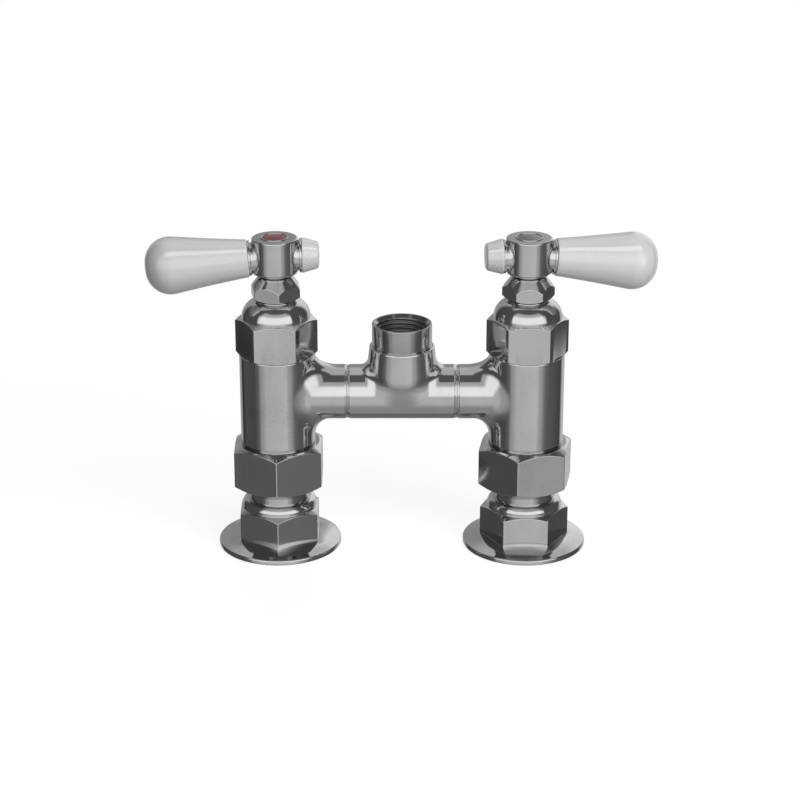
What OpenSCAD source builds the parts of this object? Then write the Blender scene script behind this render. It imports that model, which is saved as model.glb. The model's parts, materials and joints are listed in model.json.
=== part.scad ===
// Deck-mounted bridge faucet: two valve columns at four inch centres, a bridge with an open
// spout outlet, and two quarter-turn lever handles. Millimetres, +Z up.
// The origin lies on the deck, midway between the two flanges. Hot is at -X, cold at +X,
// and the user stands at -Y.

/* [Layout] */
// Distance between the two valve columns
centres = 101.6; // [92:0.2:130]
// Turn of the closed hot lever away from the user, in degrees
hot_rest_turn = -4; // [-15:1:15]
// Turn of the closed cold lever away from the user, in degrees
cold_rest_turn = 5; // [-15:1:15]

/* [Flanged inlets] */
// Diameter of the round flange on the deck
flange_d = 50.8; // [46:0.2:60]
// Thickness of the flange at its rim
flange_edge = 2; // [1.6:0.1:3]
// Rise of the dished flange from its rim to the hexagon
flange_rise = 2.2; // [1.6:0.1:6]
// Width across flats of the inlet hexagon
inlet_af = 31.8; // [29:0.2:36]
// Height of the inlet hexagon's flats
inlet_hex_h = 12.8; // [10:0.2:20]
// Height of the round shoulder over the hexagon
inlet_shoulder_h = 3.8; // [2.5:0.1:6]
// Bore of the female pipe thread for the supply
inlet_thread_d = 18.6; // [17:0.2:21]
// Depth of the female pipe thread
inlet_thread_depth = 13; // [10:0.5:14]
// Width of the flat rim that stands on the deck
flange_land = 3.6; // [2.5:0.1:5]
// Thickness of the deck gasket
deck_gasket_t = 1.2; // [0.8:0.1:1.6]

/* [Union] */
// Length of the neck that shows between the inlet and the coupling nut
neck_h = 3.4; // [1:0.1:6]
// Outer diameter of the union tail's neck
neck_d = 24.6; // [22.6:0.2:26]
// Wall of the threaded foot of the union tail
tail_wall = 3; // [2:0.1:4]
// Thickness of the collar that the coupling nut pulls on
collar_t = 3; // [2:0.1:5]
// Thickness of the coupling washer
washer_t = 2; // [1:0.1:3]
// Wall of the coupling nut at its flats
coupling_wall = 3.3; // [2:0.1:5]
// Height of the coupling nut
coupling_h = 21; // [18:0.2:28]
// Thickness of the coupling nut's lower lip
coupling_lip = 2.5; // [1.5:0.1:4]

/* [Body casting] */
// Wall of the column round the bonnet's thread
column_wall = 2.9; // [2.6:0.1:4]
// Length of the column above the coupling nut
column_h = 37.8; // [37:0.2:45]
// Step in radius from the column to its threaded foot
spigot_step = 0.9; // [0.5:0.1:1.5]
// Outer diameter of the bridge
bridge_d = 22.3; // [19:0.1:25]
// Wall of the bridge
bridge_wall = 4.6; // [2.5:0.1:5.5]
// Height of the bridge's axis above the foot of the column
bridge_rise = 21; // [19:0.1:21.6]
// Length of the fillet along the top of the bridge
top_fillet_reach = 10; // [6:0.5:12]
// Height of the fillet against the column above the bridge
top_fillet_rise = 5.2; // [3:0.1:5.5]
// Radius of the fillet under the bridge
low_fillet_r = 7; // [2:0.5:8]
// Radius of the fillet beside the bridge
side_fillet_r = 6; // [3:0.5:8]
// Distance of the joint line round the bridge from the column
seam_gap = 13.2; // [12.5:0.1:15]

/* [Outlet] */
// Bore of the spout's thread
outlet_thread_d = 19.2; // [17:0.2:20]
// Depth of the spout's thread
outlet_thread_depth = 12; // [8:0.5:14]
// Wall of the outlet at its mouth
outlet_wall = 2.6; // [1.8:0.1:4]
// Height of the machined mouth of the outlet
outlet_mouth_h = 9.5; // [6:0.5:14]
// Step in radius under the machined mouth
outlet_step = 1; // [0.3:0.1:1.5]
// Growth in radius of the outlet from the step to the bridge
outlet_taper = 1.1; // [0.5:0.1:3]
// Height of the outlet above the bridge's axis
outlet_rise = 29.5; // [26:0.5:40]

/* [Bonnets] */
// Wall of the bonnet between its thread and its flats
bonnet_land = 2.2; // [1.5:0.05:4]
// Height of the bonnet's hexagon
bonnet_hex_h = 14; // [10:0.5:18]
// Height of the dome above the hexagon
dome_h = 9.3; // [7:0.1:12]
// Radius of the dome's rounding
dome_r = 7.9; // [6:0.1:9]
// Length of the bonnet's thread
bonnet_thread_h = 8.2; // [6:0.2:9]
// Wall of the bonnet's threaded skirt
skirt_wall = 2.1; // [1.5:0.1:2.4]
// Thickness of the bonnet gasket
bonnet_gasket_t = 1; // [0.8:0.1:2]
// Wall of the dome round the packing
dome_wall = 1.9; // [1.4:0.1:3]

/* [Packing] */
// Radial width of the stem packing
packing_w = 2.1; // [1.5:0.1:3]
// Height of the stem packing
packing_h = 3.8; // [2:0.1:5]
// Wall of the packing nut at its flats
packing_nut_wall = 2.7; // [2:0.1:5]
// Height of the packing nut's flats
packing_nut_h = 4.2; // [3:0.1:6]
// Height of the packing nut's cone
packing_cone_h = 5.2; // [3:0.1:6]
// Length of the packing nut's thread
packing_thread_h = 2.7; // [2:0.1:4]

/* [Cartridges] */
// Diameter of the stem
stem_d = 8.8; // [7.6:0.1:10]
// Diameter of the ceramic discs
disc_d = 15; // [14:0.1:17]
// Thickness of a ceramic disc
disc_t = 2.5; // [2:0.1:3.5]
// Width of a water opening in a ceramic disc, in degrees
port_angle = 80; // [50:1:84]
// Outer radius of a water opening in a ceramic disc
port_r = 5.6; // [4.5:0.1:6]
// Wall of the cartridge body
cartridge_wall = 1.8; // [1.2:0.1:2.5]
// Width of the water channel round the cartridge
channel_w = 1.6; // [1:0.1:2.5]
// Diameter of the side ports of the cartridge
side_port_d = 7.8; // [5:0.1:8.2]
// Thickness of the seat seal
seat_seal_t = 2.2; // [1.5:0.1:3]
// Radial width of the seat seal
seat_seal_w = 1.6; // [1.2:0.1:2.5]
// Depth of the drive blade in the moving disc
blade_depth = 1.2; // [0.8:0.1:1.6]
// Thickness of the drive blade
blade_t = 2.6; // [2:0.1:3]
// Length of the drive blade
blade_l = 9.6; // [7:0.1:12]
// Diameter of the stem's neck in the water chamber
stem_neck_d = 6.4; // [4:0.1:7]
// Height of the stem's collar
stem_collar_h = 4.7; // [4:0.1:6]
// Thickness of the stem's O-ring
o_ring_t = 1.5; // [1:0.1:2]
// Height of the tube over the cartridge's flange
cartridge_top_h = 7; // [5.5:0.1:7.5]

/* [Handles] */
// Diameter of the handle hub
hub_d = 18.6; // [17:0.1:22]
// Height of the handle hub
hub_h = 15.4; // [15:0.1:18]
// Height of the lever's axis above the foot of the hub
lever_rise = 7.8; // [7.4:0.1:8.2]
// Diameter of the hub's ferrule on the lever's side
lever_arm_d = 14.2; // [11:0.1:14.4]
// Diameter of the hub's ferrule on the stub's side
stub_arm_d = 13.8; // [11:0.1:14.4]
// Length of the hub's arms from the stem's axis
arm_l = 10.7; // [9.8:0.1:14]
// Length of the ferrules at the ends of the arms
ferrule_l = 1; // [0.6:0.1:1.2]
// Step in radius from a ferrule to the waist of its arm
arm_waist = 0.9; // [0.3:0.1:1.5]
// Droop of the lever, in degrees
lever_droop = 4.3; // [0:0.1:8]
// Length of the lever from the stem's axis
lever_l = 51.8; // [40:0.2:75]
// Diameter of the lever at its root
lever_root_d = 15.2; // [12:0.1:15.4]
// Diameter of the lever at its thickest
lever_d = 23.2; // [18:0.2:26]
// Radius of the lever's round end
lever_end_r = 10; // [7:0.1:11]
// Diameter of the stub at its root
stub_root_d = 14.2; // [11:0.1:14.6]
// Diameter of the stub's cone at its tip
stub_tip_d = 10.4; // [8:0.1:12]
// Length of the stub from the stem's axis
stub_l = 17.8; // [15:0.1:24]
// Rounding of the stub's tip
stub_round = 1.4; // [0.5:0.1:2]
// Diameter of the studs that hold the lever and the stub
stud_d = 5.4; // [4:0.1:6]
// Depth of the stud in the lever
stud_depth = 12; // [8:0.5:24]
// Porcelain between the stub's stud and its tip
stub_cap = 3; // [2:0.1:3.6]
// Number of teeth on the stem's spline
spline_teeth = 20; // [12:1:28]
// Height of the spline
spline_h = 8.5; // [7:0.1:8.8]
// Depth of a tooth of the spline
tooth_depth = 0.45; // [0.3:0.05:0.6]
// Shank diameter of the handle screw
screw_d = 4; // [3:0.1:4.4]
// Length of the handle screw's shank
screw_l = 9.5; // [8:0.5:14]
// Head diameter of the handle screw
screw_head_d = 7.4; // [6:0.1:8]
// Head height of the handle screw
screw_head_h = 2.6; // [2:0.1:2.8]
// Thickness of the hub's web under the screw head
hub_web = 1.6; // [1.2:0.1:2.2]
// Diameter of the index button
button_d = 11.2; // [10:0.1:13]
// Depth of the index button in the hub
button_seat = 1.6; // [1:0.1:1.8]
// Crown of the index button above the hub
button_crown = 0.6; // [0.2:0.1:1.5]

/* [Clearances] */
// Radial clearance of the stem in its bearings
run_gap = 0.06; // [0.02:0.01:0.1]
// Gap round turning parts that bear on nothing
free_gap = 0.3; // [0.3:0.05:0.5]
// Radial clearance between mating threads
thread_gap = 0.1; // [0.05:0.01:0.2]
// Radial clearance of parts that slip together
slip_gap = 0.1; // [0.05:0.01:0.2]
// Gap between the two ceramic discs
disc_film = 0.02; // [0.01:0.01:0.05]
// Gap between the hub and the packing nut
hub_gap = 0.4; // [0.2:0.1:1]
// Gap between the coupling nut and the column's shoulder
nut_gap = 0.6; // [0.3:0.1:1.2]

/* [Hidden] */

$fn = 96;
HOT = -1;
COLD = 1;

// Sideways turn of each hexagon from a flat towards the user: hot, cold
INLET_CLOCK = [30, 0];
COUPLING_CLOCK = [30, 19];
BONNET_CLOCK = [0, 0];
PACKING_CLOCK = [20, 0];

// How far a fillet's foot runs under the surface that it blends into
blend_sink = 0.12;
// How far a straight side cuts into the arc that rounds it off
crease = 0.03;
// Small bevel on turned edges
bevel = 0.5;
// Slope of the turned chamfers on the hexagons
chamfer_slope = tan(30);
// Slope of the coupling nut's foot
coupling_foot_slope = tan(32);
// Overshoot of a cut past the face that it opens
over = 1;

CHROME = [0.74, 0.75, 0.77];
PORCELAIN = [0.93, 0.92, 0.90];
BRASS = [0.80, 0.67, 0.38];
STEEL = [0.66, 0.67, 0.69];
WHITE_CERAMIC = [0.94, 0.93, 0.90];
GREY_CERAMIC = [0.55, 0.56, 0.58];
RUBBER = [0.12, 0.12, 0.13];
FIBRE = [0.52, 0.24, 0.16];
HOT_RED = [0.60, 0.16, 0.15];
COLD_GREY = [0.55, 0.53, 0.53];

// Radii that follow from the cartridge outwards
stem_r = stem_d / 2;
cartridge_bore_r = disc_d / 2 + slip_gap;
cartridge_r = cartridge_bore_r + cartridge_wall;
chamber_r = cartridge_r + channel_w;
skirt_r = chamber_r + over + 0.3;
bonnet_thread_r = skirt_r + thread_gap;
column_r = bonnet_thread_r + column_wall;
gasket_r = bonnet_thread_r + column_wall / 2;
spigot_r = column_r - spigot_step;
coupling_r = spigot_r + thread_gap + coupling_wall;
bonnet_r = skirt_r + bonnet_land;
gland_r = stem_r + run_gap + packing_w;
dome_top_r = gland_r + thread_gap + dome_wall;
packing_nut_r = gland_r + packing_nut_wall;
bridge_r = bridge_d / 2;
bridge_bore_r = bridge_r - bridge_wall;
tail_thread_r = inlet_thread_d / 2;
tail_bore_r = tail_thread_r - thread_gap - tail_wall;
outlet_thread_r = outlet_thread_d / 2;
outlet_r = outlet_thread_r + outlet_wall;
outlet_step_r = outlet_r + outlet_step;
outlet_base_r = outlet_step_r + outlet_taper;
seat_bore_r = cartridge_bore_r - seat_seal_w - 0.2;
spline_r = stem_r - 0.3;
stem_collar_r = cartridge_bore_r - free_gap;
o_ring_seat_r = stem_collar_r - o_ring_t - 0.05;

// Heights that follow from the deck upwards
inlet_hex_z = flange_edge + flange_rise;
inlet_hex_top = inlet_hex_z + inlet_hex_h;
inlet_top = inlet_hex_top + inlet_shoulder_h;
tail_foot_z = inlet_thread_depth + over + 0.4;
coupling_z = inlet_top + neck_h;
collar_z = coupling_z + coupling_lip;
washer_z = collar_z + collar_t;
spigot_z = washer_z + washer_t;
coupling_top = coupling_z + coupling_h;
column_z = coupling_top + nut_gap;
column_top = column_z + column_h;
bridge_z = column_z + bridge_rise;
outlet_top = bridge_z + outlet_rise;
outlet_step_z = outlet_top - outlet_mouth_h;
outlet_base_z = bridge_z + bridge_r - over;
outlet_thread_z = outlet_top - outlet_thread_depth;
bonnet_hex_top = column_top + bonnet_hex_h;
dome_top = bonnet_hex_top + dome_h;
skirt_z = column_top - bonnet_thread_h;
nut_z = dome_top + 0.2;
nut_cone_z = nut_z + packing_nut_h;
nut_top = nut_cone_z + packing_cone_h;
nut_foot_z = nut_z - packing_thread_h;
packing_z = nut_foot_z - packing_h;
hub_z = nut_top + hub_gap;
hub_top = hub_z + hub_h;
lever_z = hub_z + lever_rise;
broach_top = hub_z + spline_h + 0.3;
screw_head_z = broach_top + hub_web;
button_z = hub_top - button_seat;

// Distances of the studs' ends from the stem's axis
stud_from = spline_r + 1.1;
lever_stud_end = arm_l + stud_depth;
stub_stud_end = stub_l - stub_cap;

// Heights inside the valve column
flange_face_z = skirt_z;
cartridge_flange_t = 2;
cartridge_flange_z = flange_face_z - cartridge_flange_t;
cartridge_top = flange_face_z + cartridge_top_h;
port_z = bridge_z;
moving_disc_top = port_z - side_port_d / 2 - 0.7;
moving_disc_z = moving_disc_top - disc_t;
fixed_disc_z = moving_disc_z - disc_film - disc_t;
seat_z = fixed_disc_z - seat_seal_t;
cartridge_z = seat_z + 0.2;
stem_collar_z = port_z + side_port_d / 2 + 0.6;
stem_collar_top = stem_collar_z + stem_collar_h;
o_ring_z = stem_collar_z + stem_collar_h / 2;

// One piece's place on the right-hand column, or mirrored onto the left-hand one
module on_column(side) {
    mirror([side < 0 ? 1 : 0, 0, 0]) translate([centres / 2, 0, 0]) children();
}

// The closed pose of a lever on its column
module at_rest(side) {
    rotate([0, 0, side < 0 ? hot_rest_turn : cold_rest_turn]) children();
}

// A value that differs between the hot and the cold side
function of_side(pair, side) = side < 0 ? pair[0] : pair[1];

// Across the corners of a hexagon, from its half width across flats
function corner(flat_r) = flat_r / cos(30);

// Point where a straight line from p touches a circle about c, on its outer side
function touch_point(p, c, r) =
    let (v = c - p, d = norm(v), reach = sqrt(d * d - r * r),
        a = atan2(v[1], v[0]) - asin(r / d))
    p + reach * [cos(a), sin(a)];

// A tube or ring
module ring(outer, inner, z0, z1) {
    rotate_extrude() translate([inner, z0]) square([outer - inner, z1 - z0]);
}

// A straight round hole or rod along Z
module rod(r, z0, z1) {
    translate([0, 0, z0]) cylinder(r = r, h = z1 - z0);
}

// A hexagonal bar turned down to a profile
module turned_hex(flat_r, z0, z1, clock) {
    intersection() {
        translate([0, 0, z0]) rotate([0, 0, clock])
            cylinder(r = corner(flat_r), h = z1 - z0, $fn = 6);
        rotate_extrude() children();
    }
}

// Profile that turns cones onto both ends of a hexagon: each end's face radius and its slope
module coned_ends(flat_r, z0, z1, foot_r, foot_slope, brow_r, brow_slope) {
    out = corner(flat_r) + over;
    polygon([[0, z0], [foot_r, z0], [out, z0 + (out - foot_r) * foot_slope],
        [out, z1 - (out - brow_r) * brow_slope], [brow_r, z1], [0, z1]]);
}

// Flat ring between the flange's rim and its hub, flush with the deck
module deck_gasket() {
    color(RUBBER) ring(flange_d / 2 - flange_land - slip_gap, inlet_af / 2 - 2, 0, deck_gasket_t);
}

// Round dished flange with a wrench hexagon, threaded for the supply below and the tail above
module flanged_inlet(side) {
    hex_r = inlet_af / 2;
    rim_r = flange_d / 2;
    color(CHROME) difference() {
        union() {
            rotate_extrude() polygon([[0, 0], [rim_r - 0.4, 0], [rim_r, 0.4],
                [rim_r, flange_edge - 0.4], [rim_r - 0.4, flange_edge],
                [hex_r + 0.6, inlet_hex_z], [0, inlet_hex_z]]);
            turned_hex(hex_r, flange_edge, inlet_top, of_side(INLET_CLOCK, side))
                inlet_outline(hex_r);
        }
        rod(tail_thread_r, -over, inlet_thread_depth);
        rod(tail_bore_r, -over, inlet_top + over);
        rod(tail_thread_r, inlet_thread_depth + over, inlet_top + over);
        ring(flange_d / 2 - flange_land, inlet_af / 2 - 2 - slip_gap, -over, deck_gasket_t + 0.1);
    }
}

// Outline of the hexagon's turned top: a chamfer, then a rounded shoulder up to the neck
module inlet_outline(hex_r) {
    brow_r = hex_r - bevel;
    shoulder_w = brow_r - neck_d / 2;
    coned_ends(hex_r, 0, inlet_hex_top, hex_r + 2 * over, 1, brow_r, chamfer_slope);
    intersection() {
        translate([0, inlet_hex_top - over]) square([brow_r, inlet_shoulder_h + over]);
        union() {
            square([neck_d / 2, inlet_top]);
            translate([neck_d / 2, inlet_top - shoulder_w]) circle(r = shoulder_w);
            square([brow_r, inlet_top - shoulder_w]);
        }
    }
}

// Short tube that screws into the inlet and is pulled up to the column by the coupling nut
module union_tail() {
    color(CHROME) difference() {
        union() {
            rod(tail_thread_r - thread_gap, tail_foot_z, inlet_top + over);
            rod(neck_d / 2, inlet_top, washer_z);
            rod(spigot_r - 0.2, collar_z, washer_z);
        }
        rod(tail_bore_r, tail_foot_z - over, washer_z + over);
    }
}

// Tall union nut: its lip holds the tail's collar, its thread grips the column's foot
module coupling_nut(side) {
    foot_r = neck_d / 2 + 1.2;
    brow_r = coupling_r - 0.9;
    color(CHROME) difference() {
        turned_hex(coupling_r, coupling_z, coupling_top, of_side(COUPLING_CLOCK, side))
            coned_ends(coupling_r, coupling_z, coupling_top, foot_r, coupling_foot_slope,
                brow_r, chamfer_slope);
        rod(neck_d / 2 + slip_gap, coupling_z - over, coupling_top);
        rod(spigot_r + thread_gap, collar_z, coupling_top + over);
    }
}

// Flat washer between the tail's collar and the column's foot
module coupling_washer() {
    color(FIBRE) ring(spigot_r - 0.2, tail_bore_r + 0.2, washer_z, spigot_z);
}

// Outside of one valve column, with its threaded foot
module column_outside() {
    rotate_extrude() polygon([[0, spigot_z], [spigot_r - bevel, spigot_z],
        [spigot_r, spigot_z + bevel], [spigot_r, column_z], [column_r - bevel, column_z],
        [column_r, column_z + bevel], [column_r, column_top - bevel],
        [column_r - bevel, column_top], [0, column_top]]);
}

// Profile of a fillet round the bridge: distance from the bridge's axis, distance from the column's
module fillet_profile(reach, rise) {
    r = (reach * reach + rise * rise) / (2 * rise);
    difference() {
        square([bridge_r + rise, column_r + reach]);
        translate([bridge_r + r - blend_sink, column_r + reach]) circle(r = r);
    }
}

// Seen from above: the bridge's width, widening in a hollow curve to the column
module fillet_plan() {
    half_w = bridge_r - 2 * blend_sink;
    pitch = column_r + side_fillet_r - blend_sink;
    f_y = half_w + side_fillet_r;
    f_x = sqrt(pitch * pitch - f_y * f_y);
    reach = column_r + max(top_fillet_reach, low_fillet_r);
    translate([-reach, -half_w]) square([reach, 2 * half_w]);
    for (s = [-1, 1]) difference() {
        polygon([[0, 0], [-f_x, s * f_y], [-f_x, 0]]);
        translate([-f_x, s * f_y]) circle(r = side_fillet_r);
    }
}

// Cast fillets that carry the bridge into its column, above and below
module bridge_fillets() {
    intersection() {
        translate([0, 0, bridge_z]) rotate([0, -90, 0]) union() {
            rotate([0, 0, -90]) rotate_extrude(angle = 180)
                fillet_profile(top_fillet_reach, top_fillet_rise);
            rotate([0, 0, 90]) rotate_extrude(angle = 180)
                fillet_profile(low_fillet_r, low_fillet_r);
        }
        translate([0, 0, column_z + bevel])
            linear_extrude(column_top - column_z - 2 * bevel) fillet_plan();
    }
}

// Outlet boss: machined mouth, cast taper, and a round belly that sinks into the bridge
module outlet_outside() {
    rotate_extrude() union() {
        polygon([[0, outlet_base_z], [outlet_base_r, outlet_base_z],
            [outlet_step_r, outlet_step_z], [outlet_r, outlet_step_z],
            [outlet_r, outlet_top - bevel], [outlet_r - bevel, outlet_top], [0, outlet_top]]);
        intersection() {
            translate([0, outlet_base_z]) circle(r = outlet_base_r);
            translate([0, outlet_base_z - outlet_base_r]) square(outlet_base_r);
        }
    }
}

// Waterways of one column: foot passage, seat, valve chamber and bonnet thread
module column_waterway() {
    rod(seat_bore_r, spigot_z - over, seat_z + over);
    rod(chamber_r, seat_z, column_top + over);
    rod(bonnet_thread_r, skirt_z - 0.4, column_top + over);
    rod(gasket_r, column_top - bonnet_gasket_t, column_top + over);
}

// Waterways of the bridge and the threaded spout outlet
module bridge_waterway() {
    translate([-centres / 2, 0, bridge_z]) rotate([0, 90, 0])
        cylinder(r = bridge_bore_r, h = centres);
    rod(bridge_bore_r, bridge_z, outlet_top);
    rod(outlet_thread_r, outlet_thread_z, outlet_top + over);
    translate([0, 0, outlet_top - over])
        cylinder(r1 = outlet_thread_r, r2 = outlet_thread_r + 2 * over, h = 2 * over);
}

// Fine joint line round the bridge
module seam(side) {
    seam_x = side * (centres / 2 - column_r - seam_gap);
    translate([seam_x - 0.3, 0, bridge_z]) rotate([0, 90, 0])
        ring(bridge_r + over, bridge_r - 0.3, 0, 0.6);
}

// H-shaped casting: two columns, the bridge and the outlet, with their waterways
module body_casting() {
    color(CHROME) difference() {
        union() {
            for (side = [HOT, COLD]) on_column(side) {
                column_outside();
                bridge_fillets();
            }
            translate([-centres / 2, 0, bridge_z]) rotate([0, 90, 0])
                cylinder(r = bridge_r, h = centres);
            outlet_outside();
        }
        for (side = [HOT, COLD]) {
            on_column(side) column_waterway();
            seam(side);
        }
        bridge_waterway();
    }
}

// Soft ring between the seat in the column and the fixed disc
module seat_seal() {
    color(RUBBER) ring(cartridge_bore_r - slip_gap, seat_bore_r + 0.1, seat_z, fixed_disc_z);
}

// Two opposite sector-shaped water openings
module disc_ports(z0, z1, turn) {
    inner_r = 2.2;
    far = 2 * port_r;
    half = port_angle / 2;
    for (a = [turn, turn + 180]) rotate([0, 0, a]) intersection() {
        ring(port_r, inner_r, z0, z1);
        translate([0, 0, z0]) linear_extrude(z1 - z0)
            polygon([[0, 0], [far, -far * tan(half)], [far, far * tan(half)]]);
    }
}

// Ceramic disc that stays still, with its openings in line with the side ports
module fixed_disc() {
    color(WHITE_CERAMIC) difference() {
        rod(disc_d / 2, fixed_disc_z, fixed_disc_z + disc_t);
        disc_ports(fixed_disc_z - over, fixed_disc_z + disc_t + over, 0);
    }
}

// Ceramic disc that the stem turns: a quarter turn brings its openings over the fixed ones
module moving_disc() {
    color(GREY_CERAMIC) difference() {
        rod(disc_d / 2 - slip_gap, moving_disc_z, moving_disc_top);
        disc_ports(moving_disc_z - over, moving_disc_top + over, 90);
        translate([-blade_l / 2 - slip_gap, -blade_t / 2 - slip_gap, moving_disc_top - blade_depth - 0.1])
            cube([blade_l + 2 * slip_gap, blade_t + 2 * slip_gap, blade_depth + over]);
    }
}

// Brass cage that holds the discs and guides the stem, with two side ports for the water
module cartridge_body() {
    color(BRASS) difference() {
        union() {
            rod(cartridge_r, cartridge_z, flange_face_z);
            rod(chamber_r - slip_gap, cartridge_flange_z, flange_face_z);
            rod(skirt_r - skirt_wall - slip_gap, flange_face_z - over, cartridge_top);
        }
        rod(cartridge_bore_r, cartridge_z - over, stem_collar_top + free_gap);
        rod(stem_r + run_gap, cartridge_z, cartridge_top + over);
        translate([-cartridge_r - over, 0, port_z]) rotate([0, 90, 0])
            cylinder(d = side_port_d, h = 2 * (cartridge_r + over));
    }
}

// A toothed spline's outline: pointed teeth between two radii
module spline_outline(tip_r, root_r) {
    polygon([for (i = [0 : 2 * spline_teeth - 1])
        let (r = i % 2 == 0 ? tip_r : root_r, a = 180 * i / spline_teeth) r * [cos(a), sin(a)]]);
}

// Stem: drive blade, neck, collar with its O-ring groove, shaft and splined top
module stem(side) {
    color(BRASS) difference() {
        union() {
            translate([-blade_l / 2, -blade_t / 2, moving_disc_top - blade_depth])
                cube([blade_l, blade_t, blade_depth + 0.4]);
            rod(stem_neck_d / 2, moving_disc_top, stem_collar_z + over);
            rod(stem_collar_r, stem_collar_z, stem_collar_top);
            rod(stem_r, stem_collar_top - over, hub_z);
            at_rest(side) translate([0, 0, hub_z - over]) linear_extrude(spline_h + over)
                spline_outline(spline_r, spline_r - tooth_depth);
        }
        ring(stem_collar_r + over, o_ring_seat_r, o_ring_z - o_ring_t / 2 - 0.1,
            o_ring_z + o_ring_t / 2 + 0.1);
        rod(screw_d / 2 + thread_gap, screw_head_z - screw_l - over, hub_z + spline_h + over);
    }
}

// Round rubber ring in the stem's collar
module stem_o_ring() {
    color(RUBBER) rotate_extrude()
        translate([stem_collar_r - o_ring_t / 2, o_ring_z]) circle(d = o_ring_t);
}

// Flat ring between the column's mouth and the bonnet
module bonnet_gasket() {
    color(FIBRE) ring(gasket_r - slip_gap, skirt_r + slip_gap, column_top - bonnet_gasket_t, column_top);
}

// Bonnet: threaded skirt, wrench hexagon and rounded dome round the packing
module bonnet(side) {
    brow_r = bonnet_r - bevel;
    brow_z = bonnet_hex_top + (corner(bonnet_r) - brow_r) * chamfer_slope;
    color(CHROME) difference() {
        union() {
            rod(skirt_r, skirt_z, column_top + over);
            turned_hex(bonnet_r, column_top, brow_z, of_side(BONNET_CLOCK, side))
                coned_ends(bonnet_r, column_top, brow_z, column_r + 0.1, chamfer_slope,
                    brow_r, chamfer_slope);
            rotate_extrude() dome_outline(brow_r);
        }
        rod(skirt_r - skirt_wall, skirt_z - over, cartridge_top + 0.4);
        rod(stem_r + free_gap, skirt_z, dome_top + over);
        rod(gland_r + thread_gap, packing_z, dome_top + over);
    }
}

// The dome's outline: a round shoulder between the hexagon and the packing nut
module dome_outline(brow_r) {
    foot_z = column_top + over;
    brow_h = dome_top - dome_r - foot_z;
    intersection() {
        translate([0, foot_z]) square([brow_r, dome_top - foot_z]);
        union() {
            translate([0, foot_z]) square([brow_r, brow_h]);
            translate([brow_r - dome_r, foot_z + brow_h]) circle(r = dome_r);
            translate([0, foot_z]) square([dome_top_r, dome_top - foot_z]);
        }
    }
}

// Packing ring squeezed round the stem
module packing() {
    color(RUBBER) ring(gland_r, stem_r + run_gap, packing_z, nut_foot_z);
}

// Small hexagon with a coned top, screwed into the dome
module packing_nut(side) {
    brow_r = stem_r + 2.4;
    cone_slope = packing_cone_h / (corner(packing_nut_r) - brow_r);
    color(CHROME) difference() {
        union() {
            rod(gland_r, nut_foot_z, nut_z + over);
            turned_hex(packing_nut_r, nut_z, nut_top, of_side(PACKING_CLOCK, side))
                coned_ends(packing_nut_r, nut_z, nut_top, dome_top_r, chamfer_slope,
                    brow_r, cone_slope);
        }
        rod(stem_r + run_gap, nut_foot_z - over, nut_top + over);
    }
}

// An arm of the hub with a ferrule at its end, along +Z from the stem's axis
module hub_arm(d) {
    waist_r = d / 2 - arm_waist;
    rotate_extrude() polygon([[0, 0], [waist_r, 0], [waist_r, arm_l - ferrule_l],
        [d / 2, arm_l - ferrule_l], [d / 2, arm_l - bevel / 2],
        [d / 2 - bevel / 2, arm_l], [0, arm_l]]);
}

// Turns +Z into the lever's direction, from the stem's axis
module along_lever() {
    translate([0, 0, lever_z]) rotate([0, 90 + lever_droop, 0]) children();
}

// Turns +Z into the stub's direction, from the stem's axis
module along_stub() {
    translate([0, 0, lever_z]) rotate([0, -90, 0]) children();
}

// Hub: round barrel on the splined stem, with arms for the lever and the stub
module handle_hub() {
    hub_r = hub_d / 2;
    foot = 2.2;
    color(CHROME) difference() {
        union() {
            rotate_extrude() polygon([[0, hub_z], [hub_r - foot, hub_z], [hub_r, hub_z + foot / 2],
                [hub_r, hub_top - bevel], [hub_r - bevel, hub_top], [0, hub_top]]);
            along_lever() hub_arm(lever_arm_d);
            along_stub() hub_arm(stub_arm_d);
        }
        translate([0, 0, hub_z - over]) linear_extrude(broach_top - hub_z + over)
            spline_outline(spline_r + run_gap, spline_r - tooth_depth + run_gap);
        rod(screw_d / 2 + 2 * slip_gap, hub_z, hub_top);
        rod(screw_head_d / 2 + 2 * slip_gap, screw_head_z, hub_top);
        rod(button_d / 2 + slip_gap, button_z, hub_top + over);
        along_lever() rod(stud_d / 2 + thread_gap, stud_from, arm_l + over);
        along_stub() rod(stud_d / 2 + thread_gap, stud_from, arm_l + over);
    }
}

// Threaded stud between the hub and the lever, bottomed in both
module lever_stud() {
    color(BRASS) along_lever() rod(stud_d / 2, stud_from, lever_stud_end);
}

// Threaded stud between the hub and the stub, bottomed in both
module stub_stud() {
    color(BRASS) along_stub() rod(stud_d / 2, stud_from, stub_stud_end);
}

// Club-shaped porcelain lever: a long cone that swells to a round end
module lever_grip() {
    root = [lever_root_d / 2, arm_l];
    centre = [lever_d / 2 - lever_end_r, lever_l - lever_end_r + crease];
    touch = touch_point(root + [0, bevel], centre, lever_end_r - crease);
    color(PORCELAIN) along_lever() difference() {
        rotate_extrude() union() {
            polygon([[0, arm_l], root - [bevel, 0], root + [0, bevel], touch, centre,
                [centre[0], lever_l], [0, lever_l]]);
            intersection() {
                translate(centre) circle(r = lever_end_r);
                square([lever_d, lever_l]);
            }
        }
        rod(stud_d / 2 + slip_gap, arm_l - over, lever_stud_end);
    }
}

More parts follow.
